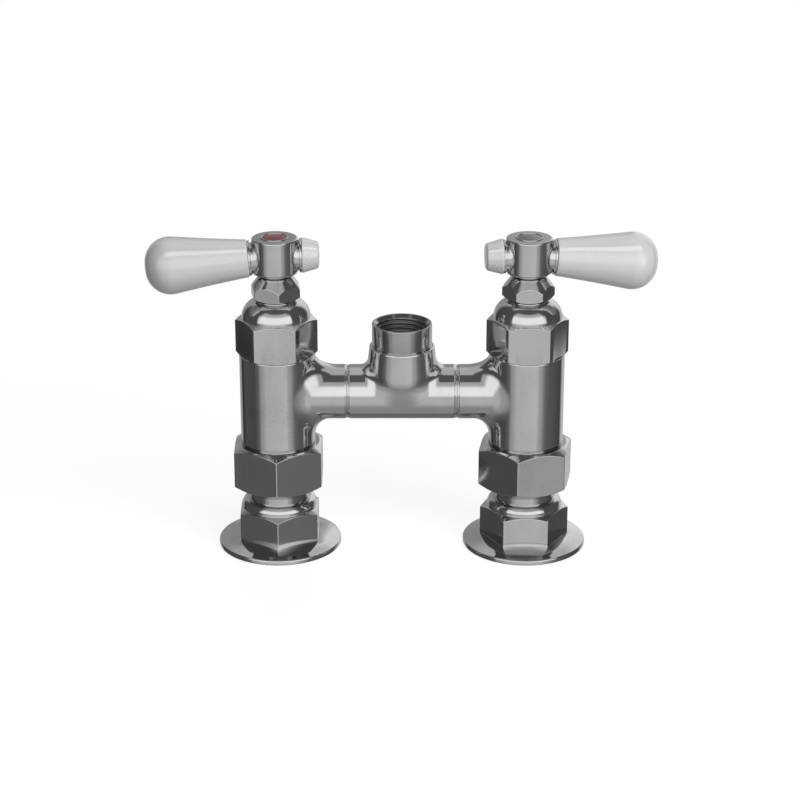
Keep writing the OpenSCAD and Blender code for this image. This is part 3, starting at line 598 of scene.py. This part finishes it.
def ground_ceramic_finish(name, colour):
    """Lapped ceramic: even and matt, with a faint grain and rub marks."""
    tree, main, where = shader(name)
    marks = use(tree, handling_marks(), where, Smudge_Scale=160, Scratch_Scale=420)
    grain = noise(tree, where, 3000, 2)
    rubbed = blend(tree, times(tree, marks["Film"], 0.5), colour, shade(colour, 0.8))
    grained = blend(tree, grain, rubbed, shade(colour, 1.08))
    rough = maths(tree, "MULTIPLY_ADD", marks["Film"], 0.15, 0.22)
    dress(tree, main, grained, rough, grain, 0.00001)


def moulded_finish(name, colour, grain_scale, low, high):
    """Moulded rubber or pressed fibre: matt, mottled, with a fine grain."""
    tree, main, where = shader(name)
    grain = noise(tree, where, grain_scale, 5, 0.65)
    mottle = noise(tree, where, 90)
    tone = blend(tree, mottle, shade(colour, 0.75), shade(colour, 1.35))
    flecked = blend(tree, between(tree, grain, 0.62, 0.75, 0.0, 0.4), tone, shade(colour, 1.9))
    dress(tree, main, flecked, between(tree, grain, 0.3, 0.7, low, high), grain, 0.00004)


def enamel_finish(name, colour):
    """Fired enamel in a metal cup: glossy, cloudy, chipped a little at its rim."""
    tree, main, where = shader(name)
    marks = use(tree, handling_marks(), where, Smudge_Scale=120)
    wear = use(tree, edge_wear(), where, From=0.515, To=0.56)["Wear"]
    cloudy = blend(tree, noise(tree, where, 300), shade(colour, 0.85), shade(colour, 1.2))
    chipped = blend(tree, times(tree, wear, 0.6), cloudy, (0.5, 0.47, 0.45))
    rough = maths(tree, "MULTIPLY_ADD", marks["Film"], 0.18, 0.18)
    dress(tree, main, chipped, rough, marks["Waves"], 0.00003, Coat_Weight=0.4, Coat_Roughness=0.08)


def finish(name):
    """The finish of that name, made when it is first asked for."""
    label, colours = "finish_" + name, bpy.context.scene.faucet_finishes
    makers = {
        "polished_chrome": (chrome_finish, colours.chrome),
        "porcelain": (porcelain_finish, colours.porcelain),
        # Chrome darkened to three quarters for the outlet mouth: painted shade round the mouth's rim
        "faced_chrome": (chrome_finish, shade(colours.chrome, 0.74), 110),
        "cut_thread": (turned_metal_finish, shade(colours.chrome, 0.42), 0.42),
        "brass": (turned_metal_finish, colours.brass, 0.2, colours.steel),
        "steel": (turned_metal_finish, colours.steel, 0.24),
        "white_ceramic": (ground_ceramic_finish, colours.white_ceramic),
        "grey_ceramic": (ground_ceramic_finish, colours.grey_ceramic),
        "rubber": (moulded_finish, colours.rubber, 1400, 0.5, 0.8),
        "fibre": (moulded_finish, colours.fibre, 900, 0.65, 0.95),
        "hot_enamel": (enamel_finish, colours.hot_enamel),
        "cold_enamel": (enamel_finish, colours.cold_enamel),
    }
    if label not in bpy.data.materials:
        make, *given = makers[name]
        make(label, *given)
    return bpy.data.materials[label]


# Shapes of the cast pieces, as fields of distances in millimetres

def casting_field(x, y, z):
    """The body casting: two columns, the bridge, the outlet boss and their waterways."""
    x = np.abs(x)
    column_r, outlet_r = np.hypot(x - D.half_centres, y), np.hypot(x, y)
    bridge_r, up = np.hypot(y, z - D.bridge_z), z - D.bridge_z
    column = np.minimum(bar(column_r, z, D.column_r, D.column_z, D.column_top, 0.55),
                        bar(column_r, z, D.spigot_r, D.spigot_z, D.column_top - 5, 0.5))
    bridge = np.maximum(bridge_r - D.bridge_r, x - D.half_centres)
    lean = np.clip(up / np.maximum(bridge_r, 0.1), -1, 1)
    above, below = np.maximum(lean, 0) ** 2, np.maximum(-lean, 0) ** 2
    shares = (above, below, 1 - above - below)
    reach, rise = (sum(size * share for size, share in zip(sizes, shares))
                   for sizes in (D.fillet_reach, D.fillet_rise))
    arms = filleted(column, bridge, reach, rise)
    taper = (D.outlet_base_r - D.outlet_step_r) / (D.outlet_step_z - D.outlet_base_z)
    cone = (outlet_r - D.outlet_base_r + (z - D.outlet_base_z) * taper) * math.cos(math.atan(taper))
    ball = np.hypot(outlet_r, z - D.outlet_base_z) - D.outlet_base_r
    boss = both(np.where(z > D.outlet_base_z, cone, ball), z - D.outlet_step_z, 0.45)
    solid = np.minimum(arms, filleted(boss, bridge, D.outlet_fillet, D.outlet_fillet))
    return bored(
        solid,
        (bridge_r, D.bridge_bore_r, x - D.half_centres),
        (column_r, D.seat_r, z - D.seat_z - 1),
        (column_r, D.chamber_r, D.seat_z - z),
        (column_r, D.bonnet_thread_r, D.bonnet_thread_z - z),
        (column_r, D.gasket_r, D.gasket_z - z),
        (outlet_r, D.bridge_bore_r, D.bridge_z - z),
        (outlet_r, D.outlet_bore_r, D.outlet_thread_z - z),
        *((np.hypot(x - D.seam_x, bridge_r - D.bridge_r - h), cut_r, -np.inf) for h, cut_r in D.seam_cuts))


def hub_field(x, y, z):
    """A handle hub: round barrel, two arms, and its bores. The lever points along +X."""
    r, up = np.hypot(x, y), z - D.lever_z
    slope = math.hypot(D.hub_r - D.hub_foot_r, D.hub_foot_z - D.hub_z)
    foot = ((r - D.hub_foot_r) * (D.hub_foot_z - D.hub_z) - (z - D.hub_z) * (D.hub_r - D.hub_foot_r)) / slope
    barrel = both(both(both(r - D.hub_r, z - D.hub_top, 0.6), foot, 0.8), D.hub_z - z, 0.3)
    out = x * math.cos(D.droop) - up * math.sin(D.droop)
    lever_axis = np.sqrt(np.maximum(x * x + y * y + up * up - out * out, 1e-9))
    stub_axis = np.hypot(y, up)
    solid = barrel
    for axis, along, ferrule_r in ((lever_axis, out, D.lever_arm_r), (stub_axis, -x, D.stub_arm_r)):
        waist = np.maximum(np.maximum(axis - ferrule_r + D.arm_waist, along - D.arm_l + 0.4), -along)
        ring = np.abs(along - D.arm_l + D.ferrule_l / 2) - D.ferrule_l / 2
        ferrule = both(axis - ferrule_r, ring, 0.3)
        solid = np.minimum(filleted(solid, waist, D.hub_fillet, D.hub_fillet), ferrule)
    return bored(
        solid,
        (r, D.broach_r, z - D.broach_top),
        (r, D.screw_hole_r, -np.inf),
        (r, D.screw_head_r, D.screw_head_z - z),
        (r, D.button_hole_r, D.button_z - z),
        (lever_axis, D.stud_hole_r, D.stud_from - out),
        (stub_axis, D.stud_hole_r, D.stud_from + x))


# Operators, one for each piece or group of like pieces

class FAUCET_OT_body_casting(bpy.types.Operator):
    """Body casting with its blended bridge, and the machined mouth of the outlet"""
    bl_idname = "faucet.body_casting"
    bl_label = "Body casting"

    def execute(self, context):
        step = context.scene.faucet_sizes.casting_step
        reach, depth = D.half_centres + D.column_r + 2, D.column_r + 1.5
        seams = [(place, half, close) for half, close in ((1.2, 0.25), (0.3, 0.1))
                 for place in (-D.seam_x, D.seam_x)]
        mesh_data = skin(
            casting_field, ticks(-reach, reach, step, *seams), ticks(-depth, depth, step),
            ticks(D.spigot_z - 1.5, D.outlet_step_z + 1.5, step, (D.column_z, 0.9, 0.22),
                  (D.column_top, 0.9, 0.22), (D.outlet_step_z, 0.7, 0.2)))
        piece("body_casting_skin", mesh_data, replaced=["body_casting"])
        angles = around()
        foot, collar, top = D.outlet_thread_z + 0.1, D.outlet_step_z - 0.5, D.outlet_top
        mouth = turned(angles, [
            (D.outlet_sleeve_r, foot, 0), (D.outlet_sleeve_r, collar, 0), (D.outlet_r, collar, 0),
            (D.outlet_r, top, 0.6), (D.outlet_lip_r, top, 0.25), (D.outlet_mouth_r, top - 1.3, 0.1),
            (D.outlet_mouth_r, foot, 0)])
        # The mouth's chrome is darkened: painted shade round its rim
        piece("outlet_mouth", mouth, finish_name="faced_chrome")
        cut = turned(angles, [
            (D.outlet_lining_r, D.outlet_thread_z + 0.12, 0), (D.outlet_lining_r, top - 1.2, 0),
            *thread(angles, D.outlet_thread_r, top - 1.15, D.outlet_thread_z + 0.15)])
        piece("outlet_thread", cut, finish_name="cut_thread")
        return {"FINISHED"}


class FAUCET_OT_inlets(bpy.types.Operator):
    """Flanged inlets: dished flange, wrench hexagon, rounded shoulder and threaded bore"""
    bl_idname = "faucet.inlets"
    bl_label = "Flanged inlets"

    def execute(self, context):
        edge = context.scene.faucet_sizes.worked_edge
        rim_r = D.flange_r - 0.4
        fall = (D.dish_top - D.flange_edge) / (rim_r - D.dish_foot_r)
        shoulder_w = D.inlet_brow_r - D.neck_r

        def corners(angles, hex_r):
            foot_r = np.maximum(hex_r + 0.45, D.dish_foot_r)
            foot_z = D.dish_top - (foot_r - D.dish_foot_r) * fall
            dish = [(rim_r + (foot_r - D.flange_r + 0.4) * t,
                     D.flange_edge + (foot_z - D.flange_edge) * t + 0.3 * math.sin(math.pi * t), 0)
                    for t in np.linspace(0, 1, 9)[1:-1]]
            return [
                (D.inlet_mouth_r, 0, 0.1), (D.gasket_in_r, 0, 0.1), (D.gasket_in_r, D.gasket_depth, 0),
                (D.gasket_out_r, D.gasket_depth, 0), (D.gasket_out_r, 0, 0.1), (D.flange_r, 0, 0.5),
                (D.flange_r, D.flange_edge, 0.8), *dish, (foot_r, foot_z, 0), (hex_r, foot_z, 0.5),
                (hex_r, D.inlet_hex_top - (hex_r - D.inlet_brow_r) * CHAMFER, edge),
                (D.inlet_brow_r, D.inlet_hex_top, edge),
                *arc((D.neck_r, D.inlet_top - shoulder_w), shoulder_w, 0, 90, 12),
                (D.thread_r, D.inlet_top, 0.2), (D.thread_r, D.thread_depth + 1, 0),
                (D.tail_r, D.thread_depth + 1, 0.1), (D.tail_r, D.thread_depth, 0.1),
                (D.thread_r, D.thread_depth, 0),
                *thread(angles, D.thread_r + 0.1, D.thread_depth - 0.1, 0.9)]

        hexagon_pieces("inlet_flange", "flanged_inlet", D.inlet_r, (30, 0), corners)
        return {"FINISHED"}


class FAUCET_OT_coupling_nuts(bpy.types.Operator):
    """Tall coupling nuts with a coned foot and a chamfered brow"""
    bl_idname = "faucet.coupling_nuts"
    bl_label = "Coupling nuts"

    def execute(self, context):
        edge = context.scene.faucet_sizes.worked_edge

        def corners(angles, hex_r):
            return [
                (D.lip_r, D.coupling_z, 0.15), (D.coupling_foot_r, D.coupling_z, edge),
                (hex_r, D.coupling_z + (hex_r - D.coupling_foot_r) * D.coupling_foot_slope, edge + 0.1),
                (hex_r, D.coupling_top - (hex_r - D.coupling_brow_r) * CHAMFER, edge),
                (D.coupling_brow_r, D.coupling_top, edge), (D.coupling_bore_r, D.coupling_top, 0.2),
                (D.coupling_bore_r, D.lip_top, 0), (D.lip_r, D.lip_top, 0.15)]

        hexagon_pieces("coupling_hexagon", "coupling_nut", D.coupling_r, (30, 19), corners)
        return {"FINISHED"}


class FAUCET_OT_bonnets(bpy.types.Operator):
    """Bonnets: threaded skirt, wrench hexagon and rounded dome"""
    bl_idname = "faucet.bonnets"
    bl_label = "Bonnets"

    def execute(self, context):
        edge = context.scene.faucet_sizes.worked_edge
        dome_r0 = D.bonnet_brow_r - D.dome_r
        top_angle = math.degrees(math.acos((D.dome_top_r - D.bonnet_brow_r + D.dome_r) / D.dome_r))

        def corners(angles, hex_r):
            seat_r = np.minimum(hex_r, D.bonnet_foot_r)
            return [
                (D.skirt_in_r, D.skirt_z, 0.2), (D.skirt_r, D.skirt_z, 0.4), (D.skirt_r, D.column_top, 0),
                (seat_r, D.column_top, 0.25), (hex_r, D.column_top + (hex_r - seat_r) * CHAMFER, edge),
                (hex_r, D.bonnet_brow_z - (hex_r - D.bonnet_brow_r) * CHAMFER, edge),
                (D.bonnet_brow_r, D.bonnet_brow_z, 0.25),
                *arc((dome_r0, D.dome_z), D.dome_r, 2, top_angle, 16), (D.dome_top_r, D.dome_top, 0.15),
                (D.gland_r, D.dome_top, 0.2), (D.gland_r, D.gland_z, 0), (D.stem_hole_r, D.gland_z, 0),
                (D.stem_hole_r, D.skirt_top, 0), (D.skirt_in_r, D.skirt_top, 0)]

        hexagon_pieces("bonnet_hexagon", "bonnet", D.bonnet_r, (0, 0), corners)
        return {"FINISHED"}


class FAUCET_OT_packing_nuts(bpy.types.Operator):
    """Packing nuts: small hexagons with a coned top"""
    bl_idname = "faucet.packing_nuts"
    bl_label = "Packing nuts"

    def execute(self, context):
        def corners(angles, hex_r):
            foot_r = np.minimum(hex_r, D.packing_foot_r)
            return [
                (D.packing_hole_r, D.packing_gland_z, 0.1), (D.packing_gland_r, D.packing_gland_z, 0.3),
                (D.packing_gland_r, D.packing_z, 0), (foot_r, D.packing_z, 0.2),
                (hex_r, D.packing_z + (hex_r - foot_r) * CHAMFER, 0.3),
                (hex_r, D.packing_top - (hex_r - D.packing_brow_r) * D.packing_slope, 0.35),
                (D.packing_brow_r, D.packing_top, 0.35), (D.packing_hole_r, D.packing_top, 0.2)]

        hexagon_pieces("packing_hexagon", "packing_nut", D.packing_r, (20, 0), corners)
        return {"FINISHED"}


class FAUCET_OT_handle_hubs(bpy.types.Operator):
    """Handle hubs: a barrel that runs smoothly into its two arms"""
    bl_idname = "faucet.handle_hubs"
    bl_label = "Handle hubs"

    def execute(self, context):
        step = context.scene.faucet_sizes.hub_step
        mesh_data = skin(
            hub_field,
            ticks(-D.arm_l - 1, D.arm_l + 1.4, step, (0.4 - D.arm_l, 1, 0.13), (D.arm_l - 0.4, 1.5, 0.13)),
            ticks(-D.hub_r - 0.8, D.hub_r + 0.8, step),
            ticks(D.hub_z - 0.6, D.hub_top + 0.6, step, (D.hub_z + 0.7, 1.2, 0.16), (D.hub_top, 0.9, 0.16)))
        handle_pieces("hub_casting", "handle_hub", "polished_chrome", mesh_data)
        return {"FINISHED"}


class FAUCET_OT_levers(bpy.types.Operator):
    """Club-shaped porcelain levers"""
    bl_idname = "faucet.levers"
    bl_label = "Levers"

    def execute(self, context):
        hollow = 0.15
        (cx, cz), end_r, tip = D.lever_end_centre, D.lever_end_r, D.lever_l + 0.02
        root = Vector((D.lever_root_r, D.arm_l + 0.5))
        run = Vector((cx, cz)) - root
        lean = math.atan2(run.y, run.x) - math.asin(end_r / run.length)
        touch = root + Vector((math.cos(lean), math.sin(lean))) * math.sqrt(run.length ** 2 - end_r ** 2)
        flank = []
        for t in np.linspace(0, 1, 30)[1:-1]:
            spot = root.lerp(touch, t)
            flank.append((spot.x - hollow * math.sin(math.pi * t), spot.y, 0))
        lever = turned(around(), [
            (0, D.lever_stud_end, 0), (D.stud_hole_r, D.lever_stud_end, 0), (D.stud_hole_r, D.arm_l, 0.2),
            (D.lever_root_r, D.arm_l, 0.55), *flank, *arc((cx, cz), end_r, math.degrees(lean) - 90, 88, 26),
            (cx * 0.6, tip, 0), (0, tip, 0)], closed=False)
        handle_pieces("lever_porcelain", "lever_grip", "porcelain", lever, arm(math.pi / 2 + D.droop))
        return {"FINISHED"}


class FAUCET_OT_stubs(bpy.types.Operator):
    """Short porcelain stubs opposite the levers"""
    bl_idname = "faucet.stubs"
    bl_label = "Stubs"

    def execute(self, context):
        stub = turned(around(), [
            (0, D.stub_stud_end, 0), (D.stud_hole_r, D.stub_stud_end, 0), (D.stud_hole_r, D.arm_l, 0.2),
            (D.stub_root_r, D.arm_l, 0.5), (D.stub_root_r - 0.1, D.arm_l + 0.8, 0.8),
            (D.stub_tip_r + 0.1, D.stub_l - 0.25, D.stub_round), (0, D.stub_l, 0)], closed=False, steps=8)
        handle_pieces("stub_porcelain", "lever_stub", "porcelain", stub, arm(-math.pi / 2))
        return {"FINISHED"}


class FAUCET_OT_index_buttons(bpy.types.Operator):
    """Index buttons: a crowned enamel disc in a thin chrome bezel"""
    bl_idname = "faucet.index_buttons"
    bl_label = "Index buttons"

    def execute(self, context):
        crown = D.button_top - D.hub_top
        disc_r = D.button_r - 0.65
        bezel_r = disc_r + 0.05
        dome = [(disc_r * t, D.button_top - crown * (disc_r * t / D.button_r) ** 2, 0)
                for t in np.linspace(0.96, 0, 12)]
        disc = turned(around(), [
            (0, D.button_z, 0), (disc_r, D.button_z, 0.1), (disc_r, D.hub_top + 0.12, 0.15), *dome],
            closed=False)
        bezel = turned(around(), [
            (bezel_r, D.button_z, 0), (D.button_r, D.button_z, 0.1), (D.button_r, D.hub_top + 0.28, 0.35),
            (bezel_r, D.hub_top + 0.34, 0.3)])
        for label, side in SIDES:
            place = on_column(side, D.rest_turn[side])
            piece(f"{label}_index_enamel", disc, place, f"{label}_handle", f"{label}_enamel",
                  [f"{label}_index_button"])
            piece(f"{label}_index_bezel", bezel, place, f"{label}_handle")
        return {"FINISHED"}


class FAUCET_OT_inner_parts(bpy.types.Operator):
    """Finishes of the solids that keep their own shape: tails, cartridges, stems, seals and screws"""
    bl_idname = "faucet.inner_parts"
    bl_label = "Inner parts"

    def execute(self, context):
        for part in frame["record"]["subparts"]:
            solid = frame["nodes"][part["node"]]
            solid.data.materials.clear()
            solid.data.materials.append(finish(part["material_slot"]))
        return {"FINISHED"}


class FAUCET_OT_stage(bpy.types.Operator):
    """Pale floor, soft studio surroundings, the lamps and the camera"""
    bl_idname = "faucet.stage"
    bl_label = "Stage"

    def execute(self, context):
        scene, studio = context.scene, context.scene.faucet_studio
        self.floor(studio)
        self.surroundings(scene, studio)
        self.lamps(scene, studio)
        self.camera(scene, studio)
        scene.view_settings.view_transform = "Standard"
        return {"FINISHED"}

    def floor(self, studio):
        """A wide pale floor that keeps the faucet's shadow and turns plain white further out."""
        half, gap, plain_from, plain_to = 6.0, 0.0002, 0.17, 0.42
        mesh = bpy.data.meshes.new("floor")
        mesh.from_pydata([(-half, -half, 0), (half, -half, 0), (half, half, 0), (-half, half, 0)], [],
                         [(0, 1, 2, 3)])
        made = put("floor", mesh)
        made.location.z = -gap
        made.visible_glossy = False
        coat = bpy.data.materials.new("floor_paint")
        coat.use_nodes = True
        tree = coat.node_tree
        tree.nodes.clear()
        tone = studio.floor_tone
        where = add(tree, "TexCoord").outputs["Object"]
        rays = add(tree, "LightPath").outputs
        seen = maths(tree, "MAXIMUM", rays["Is Camera Ray"], rays["Is Transmission Ray"])
        grain = noise(tree, where, 40)
        matt = add(tree, "BsdfDiffuse", Color=blend(tree, grain, (tone * 0.99,) * 3, (tone,) * 3))
        glow = add(tree, "Emission", Strength=times(tree, seen, studio.floor_glow))
        near = add(tree, "AddShader", _0=matt, _1=glow)
        white = add(tree, "Emission")
        away = add(tree, "VectorMath", operation="LENGTH", _0=where).outputs["Value"]
        fade = times(tree, between(tree, away, plain_from, plain_to), seen)
        add(tree, "OutputMaterial", _0=add(tree, "MixShader", _0=fade, _1=near, _2=white))
        mesh.materials.append(coat)

    def surroundings(self, scene, studio):
        """White for the camera; for light and gloss, a soft panel in front and dark sides."""
        world = bpy.data.worlds.new("studio")
        scene.world = world
        world.use_nodes = True
        tree = world.node_tree
        tree.nodes.clear()
        x, y, z = add(tree, "SeparateXYZ", Vector=add(tree, "TexCoord").outputs["Generated"]).outputs
        azimuth = maths(tree, "ARCTAN2", x, times(tree, y, -1.0))
        turn = add(tree, "MapRange", Value=azimuth, From_Min=-math.pi, From_Max=math.pi)
        height = times(tree, maths(tree, "ARCSINE", z), 180 / math.pi)

        def tones(*stops):
            """Tones round the horizon, in degrees from the user towards the cold side."""
            ramp = add(tree, "ValToRGB", _0=turn)
            band = ramp.color_ramp
            band.interpolation = "EASE"
            while len(band.elements) < len(stops):
                band.elements.new(0.5)
            for element, (degrees, tone) in zip(band.elements, stops):
                element.position = (degrees + 180) / 360
                element.color = (tone, tone, tone, 1)
            return ramp.outputs[0]

        below = tones((-180, 0.2), (-90, 0.2), (0, 0.36), (90, 0.2), (180, 0.2))
        low = tones(
            (-180, 0.45), (-154, 0.45), (-144, 0.4), (-130, 0.04), (-112, 0.1), (-72, 0.09), (-60, 0.15),
            (-46, 0.45), (-30, 0.63), (0, 0.66), (28, 0.7), (40, 0.48), (60, 0.17), (72, 0.13), (124, 0.08),
            (134, 0.52), (144, 0.64), (180, 0.45))
        middle = tones(
            (-180, 0.34), (-168, 0.34), (-146, 0.4), (-128, 0.08), (-66, 0.1), (-50, 1.2), (0, 1.25),
            (50, 1.28), (66, 0.1), (128, 0.1), (146, 0.9), (168, 0.95), (175, 0.5), (180, 0.34))
        high = tones(
            (-180, 0.62), (-150, 0.55), (-128, 0.1), (-66, 0.1), (-50, 0.56), (50, 0.56), (66, 0.1),
            (128, 0.1), (150, 0.6), (180, 0.66))
        overhead = blend(tree, between(tree, y, -0.02, 0.1), (0.12, 0.12, 0.12), (0.6, 0.6, 0.6))
        tone = below
        for start, end, band in ((-60, -28, low), (-8, 4, middle), (30, 48, high), (54, 62, overhead)):
            tone = blend(tree, between(tree, height, start, end), tone, band)
        rays = add(tree, "LightPath").outputs
        strength = maths(tree, "MAXIMUM", rays["Is Glossy Ray"], studio.surround_share)
        seen = maths(tree, "MAXIMUM", rays["Is Camera Ray"], rays["Is Transmission Ray"])
        room = add(tree, "Background", Color=tone, Strength=strength)
        white = add(tree, "Background", Color=(1, 1, 1, 1))
        add(tree, "OutputWorld", _0=add(tree, "MixShader", _0=seen, _1=room, _2=white))

    def lamp(self, name, power, width, depth, place):
        """A soft rectangular lamp that faces the faucet."""
        light = bpy.data.lights.new(name, "AREA")
        light.shape, light.size, light.size_y = "RECTANGLE", width, depth
        light.energy = power
        made = put(name, light)
        made.location = place
        made.rotation_euler = (Vector((0, 0, 0.1)) - Vector(place)).to_track_quat("-Z", "Y").to_euler()
        return made

    def lamps(self, scene, studio):
        """Soft lamps over and beside the cold side and behind, and a strip lamp for the porcelain only."""
        soft = (
            ("soft_lamp", 0.6, 0.5, (0.36, -0.5, 0.8)),
            ("side_lamp", 0.55, 0.34, (0.52, -0.42, 0.2)),
            ("rear_lamp", 0.6, 0.6, (-0.1, 0.8, 0.6)),
        )
        for name, share, size, place in soft:
            self.lamp(name, studio.lamp_power * share, size, size, place).visible_glossy = False
        strip = self.lamp("strip_lamp", studio.strip_power, 1.1, 0.3, (0.12, -0.36, 0.96))
        porcelain = bpy.data.collections.new("strip_lamp_receivers")
        for made in scene.objects:
            if made.name.endswith("_porcelain"):
                porcelain.objects.link(made)
        strip.light_linking.receiver_collection = porcelain

    def camera(self, scene, studio):
        """The camera at the photograph's angle."""
        data = bpy.data.cameras.new("camera")
        data.lens, data.sensor_width = studio.camera_lens, 36
        data.clip_start, data.clip_end = 0.05, 30
        made = put("camera", data)
        angle = studio.camera_elevation
        back = Vector((0, -math.cos(angle), math.sin(angle)))
        made.location = Vector(studio.camera_target) + back * studio.camera_distance
        made.rotation_euler = (-back).to_track_quat("-Z", "Y").to_euler()
        scene.camera = made


OPERATORS = (
    FAUCET_OT_inner_parts, FAUCET_OT_body_casting, FAUCET_OT_inlets, FAUCET_OT_coupling_nuts,
    FAUCET_OT_bonnets, FAUCET_OT_packing_nuts, FAUCET_OT_handle_hubs, FAUCET_OT_levers, FAUCET_OT_stubs,
    FAUCET_OT_index_buttons, FAUCET_OT_stage,
)


class FAUCET_PT_panel(bpy.types.Panel):
    """Sidebar panel with the faucet's pieces, sizes and finishes"""
    bl_idname = "FAUCET_PT_panel"
    bl_label = "Bridge Faucet"
    bl_space_type = "VIEW_3D"
    bl_region_type = "UI"
    bl_category = "Faucet"

    def draw(self, context):
        for operator in OPERATORS:
            self.layout.operator(operator.bl_idname)
        scene = context.scene
        for group in (scene.faucet_sizes, scene.faucet_finishes, scene.faucet_studio):
            box = self.layout.box()
            for name in group.__annotations__:
                box.prop(group, name)


CLASSES = (FaucetSizes, FaucetFinishes, FaucetStudio, *OPERATORS, FAUCET_PT_panel)


def register():
    for cls in CLASSES:
        bpy.utils.register_class(cls)
    bpy.types.Scene.faucet_sizes = PointerProperty(type=FaucetSizes)
    bpy.types.Scene.faucet_finishes = PointerProperty(type=FaucetFinishes)
    bpy.types.Scene.faucet_studio = PointerProperty(type=FaucetStudio)


def unregister():
    del bpy.types.Scene.faucet_sizes, bpy.types.Scene.faucet_finishes, bpy.types.Scene.faucet_studio
    for cls in reversed(CLASSES):
        bpy.utils.unregister_class(cls)


def main():
    register()
    for operator in OPERATORS:
        group, name = operator.bl_idname.split(".")
        getattr(getattr(bpy.ops, group), name)()
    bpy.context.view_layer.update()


if __name__ == "__main__":
    main()
